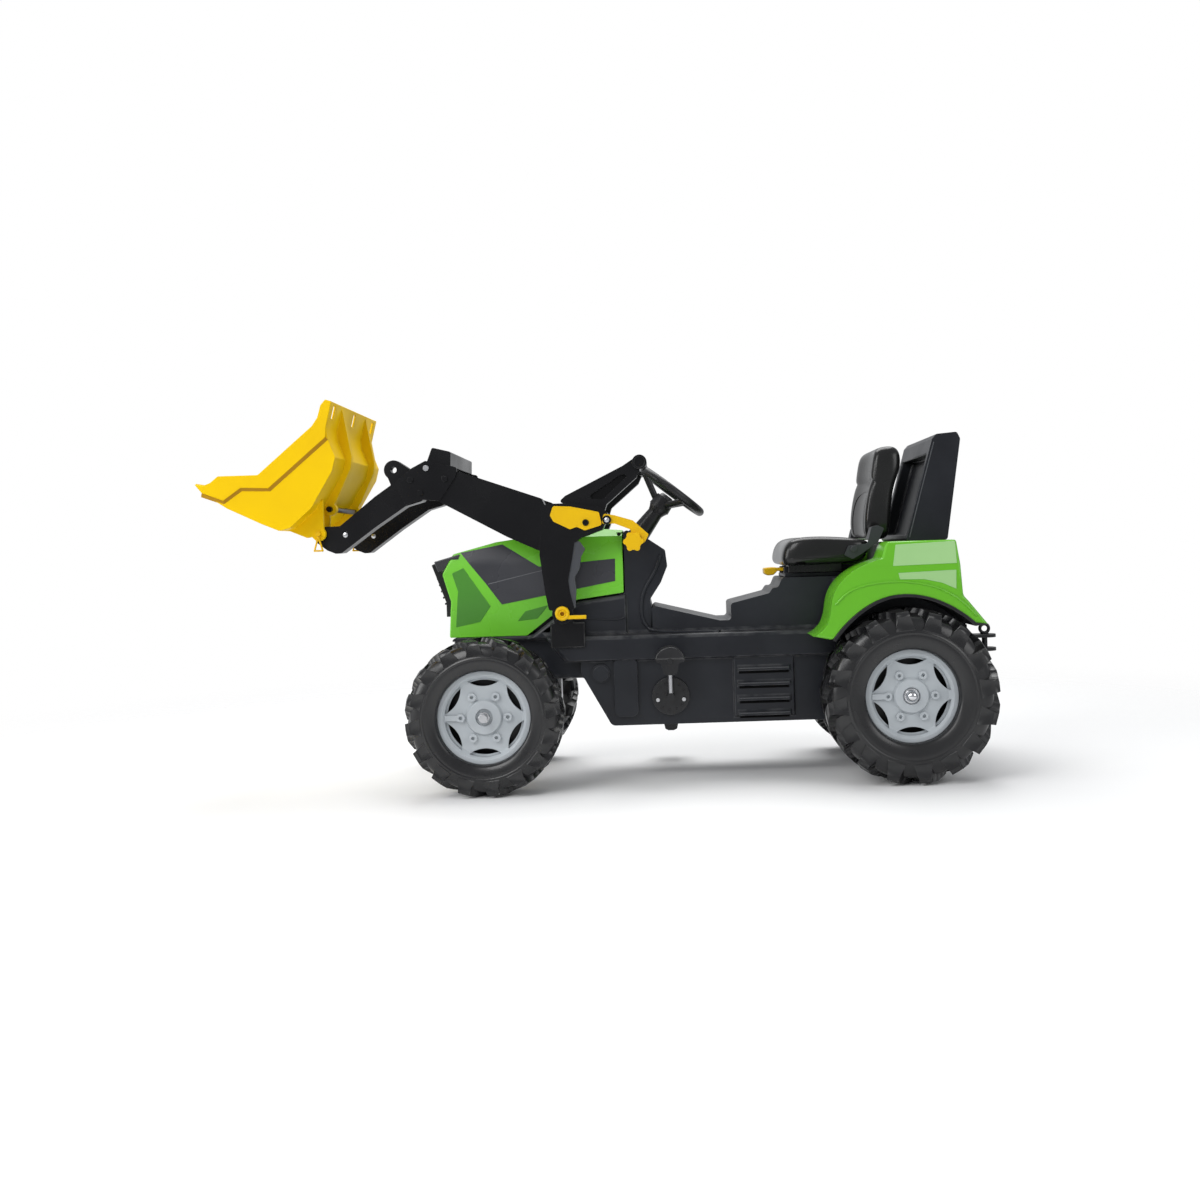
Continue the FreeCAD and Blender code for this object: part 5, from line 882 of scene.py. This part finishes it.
def tyre_shape(radius, width, axle):
    """A blown tyre body spun from its section, with its tread bars in two staggered rows."""
    section = radius - RIM_RADIUS
    half = [(RIM_RADIUS + high * section, width / 2 * out) for out, high in SIDEWALL_SHARES]
    outline = [(reach, -across) for reach, across in half] + half[::-1]
    shape = bmesh.new()
    chain = [shape.verts.new((reach, across, 0.0)) for reach, across in outline]
    edges = [shape.edges.new((chain[spot - 1], chain[spot])) for spot in range(len(chain))]
    spun(shape, chain, edges, (0.0, 1.0, 0.0), TYRE_STEPS)
    bmesh.ops.recalc_face_normals(shape, faces=shape.faces)
    bmesh.ops.translate(shape, verts=shape.verts, vec=axle)
    for face in shape.faces:
        face.smooth = True
    for side in SIDES.values():
        first_turn = side * math.tau / LUGS / 4
        row = grown(
            "lug_row", ring_tree, lug_shape(radius, width, side),
            {"Count": LUGS, "First Turn": first_turn, "Axle": axle, "Finish": tyre_black})
        row.data.shade_flat()
        shape.from_mesh(row.data)
        discard(row)
    return shape


def tyre_piece(name, shape, node):
    """A finished tyre in place of its solid."""
    piece = linked(name, shape)
    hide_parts(node)
    dressed(piece, tyre_black, frame["nodes"][node]["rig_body"])


FRONT_TYRE = (0.158, 0.095)
REAR_TYRE = (0.175, 0.110)
FRONT_AXLE = (-0.256, 0.207)
REAR_AXLE = (0.594, 0.210)
WHEEL_STEPS = 64
BACK_HOLE = 0.034
BACK_OUTLINE = [
    (BACK_HOLE, 0.0), (BACK_HOLE, 0.004), (0.058, 0.006), (0.070, 0.004), (0.0888, 0.004), (0.0888, 0.0),
    (0.070, 0.0), (0.058, 0.002), (BACK_HOLE, 0.0)]
BACK_INSET = 0.010
BACK_SHARE = 0.6
BARREL_STEP_OUTLINE = [(0.0745, 0.0), (0.0745, 0.003), (0.0885, 0.003), (0.0885, 0.0), (0.0745, 0.0)]
WEB_SHARE = 0.42
BARREL_STEP_INSET = 0.0085


def wheel_back(name, axle, side, width, body):
    """The black inner half of a wheel, and the grey step in its barrel that shows through the slots."""
    out = Vector((0.0, side, 0.0))
    inner_place = axle - out * (width / 2 * BACK_SHARE - BACK_INSET)
    dressed(turned(name, BACK_OUTLINE, inner_place, out, WHEEL_STEPS), black_trim, body)
    step_place = axle + out * (width / 2 * WEB_SHARE - BARREL_STEP_INSET)
    step = turned(name + "_step", BARREL_STEP_OUTLINE, step_place, out, WHEEL_STEPS)
    dressed(step, rim_grey, body)


def wheel_middle(axle, tyre, side):
    """Where a wheel's middle is: as high as its tyre's radius."""
    return Vector((axle[0], side * axle[1], tyre[0]))


for side_name, side in SIDES.items():
    front_middle = wheel_middle(FRONT_AXLE, FRONT_TYRE, side)
    rear_middle = wheel_middle(REAR_AXLE, REAR_TYRE, side)
    wheel_back(
        "front_wheel_back_" + side_name, front_middle, side, FRONT_TYRE[1], "front_wheel_" + side_name)
    wheel_back("rear_wheel_back_" + side_name, rear_middle, side, REAR_TYRE[1], "rear_axle")
    front_rubber = tyre_shape(*FRONT_TYRE, front_middle)
    tyre_piece("front_tyre_%s_rubber" % side_name, front_rubber, "front_tyre_" + side_name)
both_rear = tyre_shape(*REAR_TYRE, wheel_middle(REAR_AXLE, REAR_TYRE, SIDES["left"]))
far_rear = linked("far_rear", tyre_shape(*REAR_TYRE, wheel_middle(REAR_AXLE, REAR_TYRE, SIDES["right"])))
both_rear.from_mesh(far_rear.data)
discard(far_rear)
tyre_piece("rear_tyres_rubber", both_rear, "rear_tyres")

# Steering: a moulded wheel on a steel shaft, painted black, that leans back to the driver.
# The shaft turns in a black sleeve on the dash, and a short black boot under the hub covers the joint.
steer_black = moulded(
    "steering_wheel_plastic", (0.010, 0.010, 0.011), (0.017, 0.017, 0.019), 0.36, relief=0.1)
softened("steering_wheel", MOULD_EDGE, steer_black)
softened("steering_shaft", SHEET_EDGE, black_trim)
softened("column_tube", MOULD_EDGE, black_trim)
BOOT_OUTLINE = [
    (0.0160, 0.0010), (0.0160, -0.0120), (0.0172, -0.0125), (0.0185, -0.0080), (0.0222, -0.0010),
    (0.0222, 0.0010), (0.0160, 0.0010)]
HUB_DOWN = 0.047
STEER_CENTRE = Vector((0.133, 0.0, 0.607))
STEER_LEAN = math.radians(38.5)
STEER_AXIS = Vector((math.sin(STEER_LEAN), 0.0, math.cos(STEER_LEAN)))
BOOT_STEPS = 40
boot_place = STEER_CENTRE - STEER_AXIS * HUB_DOWN
column_boot = turned("column_boot", BOOT_OUTLINE, boot_place, STEER_AXIS, BOOT_STEPS)
dressed(column_boot, black_trim, "steering")

# Hood: a green moulded shell with folded sides, hinged at its rear top edge.
# Thin printed foils lie on it: dark grey window foils with a pale line, and darker green ones.
# A black grille with cross slats and two smoked lamps close the front.
HOOD_WINDOW = [
    (-0.316, 0.487), (-0.228, 0.502), (-0.151, 0.453), (0.009, 0.465), (0.008, 0.418), (-0.231, 0.376),
    (-0.262, 0.419)]
HOOD_LINE = [(-0.259, 0.4195), (-0.190, 0.435), (-0.118, 0.450)]
HOOD_CHEEK = [
    (-0.334, 0.444), (-0.310, 0.455), (-0.255, 0.373), (-0.278, 0.341), (-0.329, 0.331), (-0.322, 0.406)]
HOOD_LENS = [(-0.199, 0.340), (-0.183, 0.360), (-0.133, 0.372), (-0.158, 0.344)]
HOOD_CROWN = [(-0.255, -0.040), (-0.255, 0.040), (-0.060, 0.052), (-0.060, -0.052)]
HOOD_EDGE = 0.004
HOOD_LINE_HALF = 0.0010
FOIL = 0.0007
SLAT_COUNT = 7
SLAT_HALF = (0.0012, 0.050, 0.0022)
SLAT_EDGE = 0.0008
SLAT_HEIGHTS = (0.366, 0.446)
hood_green = moulded(
    "hood_green_plastic", (0.175, 0.60, 0.038), (0.160, 0.56, 0.034), 0.26, relief=0.02, specular=0.45,
    rubbed=0.06, dust=0.02)
foil_green = moulded(
    "dark_green_foil", (0.070, 0.27, 0.030), (0.062, 0.24, 0.027), 0.34, relief=0.02, specular=0.4,
    rubbed=0.05)
foil_grey = moulded(
    "window_grey_foil", (0.040, 0.041, 0.048), (0.050, 0.051, 0.059), 0.28, relief=0.02, specular=0.45,
    rubbed=0.05)
foil_line = moulded(
    "pale_line_foil", (0.16, 0.165, 0.175), (0.13, 0.135, 0.145), 0.35, relief=0.02, rubbed=0.05)
hood_skin = softened("hood", HOOD_EDGE, hood_green, segments=3)
on_sides(laid_plate, "hood_window", hood_skin, HOOD_WINDOW, FOIL, foil_grey, "trim")
on_sides(laid_plate, "hood_cheek", hood_skin, HOOD_CHEEK, FOIL, foil_green, "green")
on_sides(laid_plate, "hood_lens", hood_skin, HOOD_LENS, FOIL, foil_green, "green")
on_sides(laid_bead, "hood_line", hood_skin, [HOOD_LINE], HOOD_LINE_HALF, foil_line, "trim")
laid_plate("hood_crown_plate", hood_skin, HOOD_CROWN, "top", FOIL, foil_grey, "trim")
softened("hood_hinge", SHEET_EDGE, black_trim)
grille_skin = softened("front_grille", SMALL_EDGE, black_trim)

row_tree, row_in, row_out = grower(
    "row_of_copies", {"Count": "Int", "First Place": "Vector", "Step": "Vector"})
row_spots = added(row_tree, "GeometryNodeMeshLine")
row_copies = added(row_tree, "GeometryNodeInstanceOnPoints")
joined(
    row_tree, (row_in, "Count", row_spots, "Count"), (row_in, "First Place", row_spots, "Start Location"),
    (row_in, "Step", row_spots, "Offset"), (row_spots, "Mesh", row_copies, "Points"),
    (row_in, "Shape", row_copies, "Instance"))
closing(row_tree, row_copies, row_in, row_out)

slat_shape = bmesh.new()
bmesh.ops.create_cube(slat_shape, size=2.0)
bmesh.ops.scale(slat_shape, vec=SLAT_HALF, verts=slat_shape.verts)
bmesh.ops.bevel(
    slat_shape, geom=slat_shape.edges[:], offset=SLAT_EDGE, segments=2, affect="EDGES", profile=0.5)
grille_tree = skin_tree(grille_skin)
slat_low, slat_high = [dropped(grille_tree, "front", 0.0, height) for height in SLAT_HEIGHTS]
slat_step = (slat_high - slat_low) / (SLAT_COUNT - 1)
slats = grown(
    "grille_slats", row_tree, slat_shape,
    {"Count": SLAT_COUNT, "First Place": slat_low, "Step": slat_step, "Finish": black_trim})
dressed(slats, black_trim, grille_skin["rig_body"])
lamp_lens = moulded(
    "smoked_lamp_lens", (0.03, 0.03, 0.032), (0.05, 0.05, 0.055), 0.14, relief=0.0, specular=0.6)
softened("headlights", MOULD_EDGE, lamp_lens)

# Loader: black moulded brackets on the hull, two towers, and two arms in two sections each.
# The elbow plates are bolted over the arms' joint, and a yellow pin locks each tower in its bracket.
# A yellow cover plate with a black boss, a lift lever and a release strap sit on each tower.
TOWER_STRAP = [
    (-0.0730, 0.505), (-0.0610, 0.503), (-0.0500, 0.487), (-0.0590, 0.471), (-0.0620, 0.447),
    (-0.0730, 0.429), (-0.0705, 0.404), (-0.0735, 0.367), (-0.0785, 0.366), (-0.0870, 0.400),
    (-0.0900, 0.424), (-0.0800, 0.472)]
STRAP_ENDS = (0.136, 0.146)
BOSS_PLACE = (-0.047, 0.541)
BOSS_OUTLINE = [
    (0.0, 0.0012), (0.0028, 0.0012), (0.0034, 0.0030), (0.0058, 0.0030), (0.0068, 0.0018),
    (0.0068, -0.0010)]
LEVER_EDGE = 0.0025
BRIGHT_BOLT_FROM = 0.655
TILT_BOLT_PLACE = (-0.003, 0.545)
ARM_BOLT_PLACE = (-0.541, 0.531)
ARM_OUT = 0.148
ARM_IN = 0.108
BOLT_STEPS = 20
ARM_BOLT_OUTLINE = [
    (0.0, 0.0026), (0.0022, 0.0024), (0.0040, 0.0012), (0.0052, 0.0010), (0.0052, -0.0010)]
loader_black = moulded(
    "loader_black_plastic", (0.004, 0.004, 0.005), (0.006, 0.006, 0.007), 0.26, relief=0.04,
    specular=0.28, dust=0.02)
# Grey plastic for the tower straps, also used on the guard beads as a painted highlight.
strap_and_highlight_grey = moulded(
    "strap_grey_and_highlight_plastic", (0.060, 0.064, 0.072), (0.045, 0.048, 0.055), 0.38, relief=0.04)
signal_yellow = moulded(
    "signal_yellow_plastic", (0.80, 0.49, 0.003), (0.76, 0.45, 0.003), 0.34, relief=0.03, specular=0.25,
    rubbed=0.08)
softened("loader_brackets", THICK_EDGE, loader_black)
softened("lock_pins", PLATE_EDGE, signal_yellow)
LOADER_NODES = (
    "rear_arms", "front_arms", "elbow_plates", "cross_beam", "lift_levers", "lift_grips", "loader_towers")
for node in LOADER_NODES:
    softened(node, THICK_EDGE, loader_black)
elbow_bolts = softened("elbow_bolts", ROD_EDGE, loader_black)
part_finish(elbow_bolts, bright_steel, lambda spot: spot.z > BRIGHT_BOLT_FROM)
cover_skin = softened("cover_plates", MOULD_EDGE, signal_yellow)
for side_name, side in SIDES.items():
    strap_ends = [side * end for end in STRAP_ENDS]
    upright_plate(
        "tower_strap_" + side_name, TOWER_STRAP, strap_ends, PLATE_EDGE, strap_and_highlight_grey, "loader")
    boss_spot = dropped(skin_tree(cover_skin), side_name, *BOSS_PLACE)
    boss = turned("cover_boss_" + side_name, BOSS_OUTLINE, boss_spot, (0.0, side, 0.0))
    dressed(boss, loader_black, "loader")
    for face_name, face_y, facing in (("outer", side * ARM_OUT, side), ("inner", side * ARM_IN, -side)):
        bolt_spot = (ARM_BOLT_PLACE[0], face_y, ARM_BOLT_PLACE[1])
        bolt_name = "arm_bolt_%s_%s" % (side_name, face_name)
        bolt = turned(bolt_name, ARM_BOLT_OUTLINE, bolt_spot, (0.0, facing, 0.0), BOLT_STEPS)
        dressed(bolt, bright_steel, "loader")
softened("tilt_lever", LEVER_EDGE, signal_yellow)
tilt_skin = softened("tilt_bolt", ROD_EDGE, loader_black)
tilt_spot = dropped(skin_tree(tilt_skin), "left", *TILT_BOLT_PLACE)
tilt_stud = turned("tilt_bolt_stud", ARM_BOLT_OUTLINE, tilt_spot, (0.0, SIDES["left"], 0.0), BOLT_STEPS)
dressed(tilt_stud, bright_steel, tilt_skin["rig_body"])

# Bucket: one yellow moulding with two back ribs, a lip and lugs, on two pins with wire clips.
# A thicker band runs along its rim, and the sloped step below the band has a darker yellow that is painted
# shade.
BUCKET_STEP = [
    (-0.8138, 0.6226), (-0.7710, 0.6059), (-0.7354, 0.6309), (-0.6798, 0.6281), (-0.5615, 0.7278)]
STEP_OUT = 0.2040
STEP_IN = 0.1990
STEP_WIDE = 0.008


def wedge_along(name, path, outer, inner, wide):
    """A sloped strip under a line on a side wall, thick at the line and running out to nothing below."""
    shape = bmesh.new()
    rows = []
    for spot, (along, up) in enumerate(path):
        before = Vector(path[max(spot - 1, 0)])
        after = Vector(path[min(spot + 1, len(path) - 1)])
        run = (after - before).normalized()
        foot = Vector((along, up)) + Vector((run.y, -run.x)) * wide
        rows.append([shape.verts.new(corner) for corner in
                     ((along, outer, up), (along, inner, up), (foot.x, inner, foot.y))])
    skinned(shape, rows)
    return linked(name, shape)


# Darker yellow for the sloped step under the rim band: painted shade.
step_shade_yellow = moulded(
    "step_painted_shade_yellow", (0.46, 0.235, 0.002), (0.42, 0.21, 0.002), 0.40, relief=0.03, specular=0.2,
    rubbed=0.05)
bucket_yellow = moulded(
    "bucket_yellow_plastic", (0.88, 0.57, 0.002), (0.84, 0.53, 0.002), 0.42, relief=0.04, specular=0.10,
    rubbed=0.08, dust=0.01)
softened("bucket", RIM_EDGE, bucket_yellow)
for side_name, side in SIDES.items():
    step = wedge_along(
        "bucket_step_" + side_name, BUCKET_STEP, side * STEP_OUT, side * STEP_IN, STEP_WIDE)
    dressed(step, step_shade_yellow, "bucket")
softened("bucket_pins", ROD_EDGE, signal_yellow)
softened("bucket_clips", TOOTH_EDGE, signal_yellow)
softened("bucket_bar", SHEET_EDGE, loader_black)

# Seat: a pan and a back, each one hollow moulding of hard glossy black plastic, on a sliding base.
# Grey sheet brackets hold the back on the pan, and a yellow latch under the nose frees the slide.
PAN_OUTLINE = [
    (0.355, 0.455), (0.360, 0.477), (0.373, 0.494), (0.401, 0.499), (0.435, 0.499), (0.473, 0.497),
    (0.528, 0.491), (0.545, 0.482), (0.530, 0.447), (0.508, 0.440), (0.389, 0.438), (0.368, 0.438),
    (0.357, 0.443)]
PAN_HALF = 0.141
PAN_DISH = 0.010
PAN_TOP_POINTS = range(3, 7)
PAN_SOLE_Z = 0.4405
BACK_OUTLINE_XZ = [
    (0.534, 0.494), (0.5310, 0.518), (0.5350, 0.5585), (0.5455, 0.603), (0.5525, 0.6135), (0.5490, 0.617),
    (0.5485, 0.624), (0.5520, 0.645), (0.5555, 0.664), (0.562, 0.6775), (0.575, 0.6825), (0.600, 0.6845),
    (0.6135, 0.673), (0.6150, 0.640), (0.602, 0.611), (0.593, 0.580), (0.586, 0.5025), (0.580, 0.487),
    (0.548, 0.487)]
BACK_HALF = 0.113
BACK_DISH = 0.014
BACK_FRONT_POINTS = range(0, 9)
END_SHARES = [(1.0, 0.38), (0.985, 0.66), (0.95, 0.86), (0.88, 0.98), (0.75, 1.0), (0.45, 1.0)]
DISH_SHARE = 0.80
BACK_PIPING = [
    (-0.078, 0.500), (-0.080, 0.560), (-0.060, 0.588), (0.0, 0.594), (0.060, 0.588), (0.080, 0.560),
    (0.078, 0.500)]
PIPING_HALF = 0.0012
PAN_LIP = [(0.371, 0.4525), (0.403, 0.4530), (0.453, 0.4535), (0.510, 0.4545)]
PAN_LIP_HALF = 0.0014
LATCH_GRIP = [
    (0.3265, 0.4335), (0.345, 0.4350), (0.355, 0.4340), (0.355, 0.4260), (0.347, 0.4185), (0.334, 0.4175),
    (0.327, 0.4215)]
LATCH_GRIP_ENDS = (-0.0225, 0.0225)
SHELL_LEVELS = 2


def lofted(name, outline, half, hollow_points, hollow):
    """A closed hard shell: a side outline carried across, drawn in at its ends, dished in its middle."""
    middle = sum((Vector(point) for point in outline), Vector((0.0, 0.0))) / len(outline)
    shape = bmesh.new()
    rings = []
    stations = [(-share, draw) for share, draw in END_SHARES] + [(0.0, 1.0)] + END_SHARES[::-1]
    for share, draw in stations:
        sunk = hollow * max(0.0, 1.0 - (abs(share) / DISH_SHARE) ** 2)
        ring = []
        for number, point in enumerate(outline):
            spot = middle + (Vector(point) - middle) * draw
            if number in hollow_points:
                spot += sunk
            ring.append(shape.verts.new((spot.x, half * share, spot.y)))
        rings.append(ring)
    skinned(shape, rings)
    piece = linked(name, shape)
    piece.data.shade_smooth()
    smooth = piece.modifiers.new("smooth", "SUBSURF")
    smooth.levels = SHELL_LEVELS
    settle(piece)
    return piece


seat_black = moulded(
    "seat_black_plastic", (0.009, 0.009, 0.009), (0.012, 0.012, 0.012), 0.22, relief=0.03, specular=0.4)
softened("seat_base", MOULD_EDGE, black_hull)
pan_skin = lofted("seat_pan_shell", PAN_OUTLINE, PAN_HALF, PAN_TOP_POINTS, Vector((0.0, -PAN_DISH)))
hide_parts("seat_pan")
dressed(pan_skin, seat_black, "seat")
sole_shape = solid_copy("seat_pan")
sole_every = sole_shape.verts[:] + sole_shape.edges[:] + sole_shape.faces[:]
bmesh.ops.bisect_plane(
    sole_shape, geom=sole_every, plane_co=(0.0, 0.0, PAN_SOLE_Z), plane_no=(0.0, 0.0, 1.0),
    clear_outer=True)
bmesh.ops.holes_fill(sole_shape, edges=sole_shape.edges)
dressed(rounded(linked("seat_sole", sole_shape), SMALL_EDGE), seat_black, "seat")
back_skin = lofted(
    "seat_back_shell", BACK_OUTLINE_XZ, BACK_HALF, BACK_FRONT_POINTS, Vector((BACK_DISH, 0.0)))
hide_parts("seat_back")
dressed(back_skin, seat_black, "seat")
laid_bead("seat_back_piping", back_skin, [BACK_PIPING], "front", PIPING_HALF, seat_black, "seat")
on_sides(laid_bead, "seat_pan_lip", pan_skin, [PAN_LIP], PAN_LIP_HALF, seat_black, "seat")
brace_grey = moulded("seat_brace_grey", (0.035, 0.037, 0.042), (0.028, 0.030, 0.034), 0.45, relief=0.05)
softened("seat_braces", SHEET_EDGE, brace_grey)
softened("seat_latch", SMALL_EDGE, signal_yellow)
upright_plate("latch_grip", LATCH_GRIP, LATCH_GRIP_ENDS, LEVER_EDGE, signal_yellow, "seat_latch")

# Fenders: green blown shells screwed on the hull over the rear wheels, with a black seal below.
# Two flat fields on the outer side stand a little proud, and their paler green is a painted reflection.
SHELL_EDGE = 0.005
FIELD_PROUD = 0.0012
RIDGE_HALF = 0.0024
FENDER_UPPER = [(0.573, 0.476), (0.692, 0.480), (0.691, 0.436), (0.564, 0.434)]
FENDER_LOWER = [
    (0.574, 0.420), (0.689, 0.423), (0.688, 0.385), (0.660, 0.398), (0.625, 0.406), (0.577, 0.407)]
FENDER_RIDGE = [
    (0.447, 0.360), (0.472, 0.385), (0.502, 0.397), (0.541, 0.4025), (0.581, 0.4035), (0.640, 0.3945),
    (0.686, 0.371), (0.710, 0.349), (0.726, 0.331)]
fender_green = moulded(
    "fender_green_plastic", (0.138, 0.49, 0.018), (0.126, 0.455, 0.016), 0.20, relief=0.02, specular=0.5,
    rubbed=0.06, dust=0.02)
# Paler green for the raised fender fields: painted reflection.
field_reflection_green = moulded(
    "fender_field_painted_reflection", (0.36, 0.62, 0.26), (0.33, 0.59, 0.235), 0.20, relief=0.01, specular=0.5,
    rubbed=0.06)
fender_skin = softened("fenders", SHELL_EDGE, fender_green, segments=3)
on_sides(laid_plate, "fender_upper_field", fender_skin, FENDER_UPPER, FIELD_PROUD, field_reflection_green, "green")
on_sides(laid_plate, "fender_lower_field", fender_skin, FENDER_LOWER, FIELD_PROUD, field_reflection_green, "green")
on_sides(laid_bead, "fender_ridge", fender_skin, [FENDER_RIDGE], RIDGE_HALF, fender_green, "green")
softened("fender_seals", SHEET_EDGE, black_trim)

# Guard behind the seat: a black moulded shell, open at the front, that stands on the tail box.
# A raised bead runs up the front edge of each side, in a paler grey that is a painted highlight.
GUARD_BEAD = [(0.617, 0.490), (0.645, 0.590), (0.6725, 0.684)]
GUARD_BEAD_HALF = 0.0013
guard_skin = softened("roll_guard", SHELL_EDGE, black_hull, segments=3)
# The bead's paler grey is a painted highlight on the shell's front edge.
on_sides(laid_bead, "guard_bead", guard_skin, [GUARD_BEAD], GUARD_BEAD_HALF, strap_and_highlight_grey, "loader_black")

# Hitch: a black moulded jaw at the tail, bolted on the hull.
# A pull-out ring pin of bent steel, painted black, goes through both of its plates.
softened("rear_hitch", SMALL_EDGE, black_trim)
softened("hitch_pin", ROD_EDGE, black_trim)
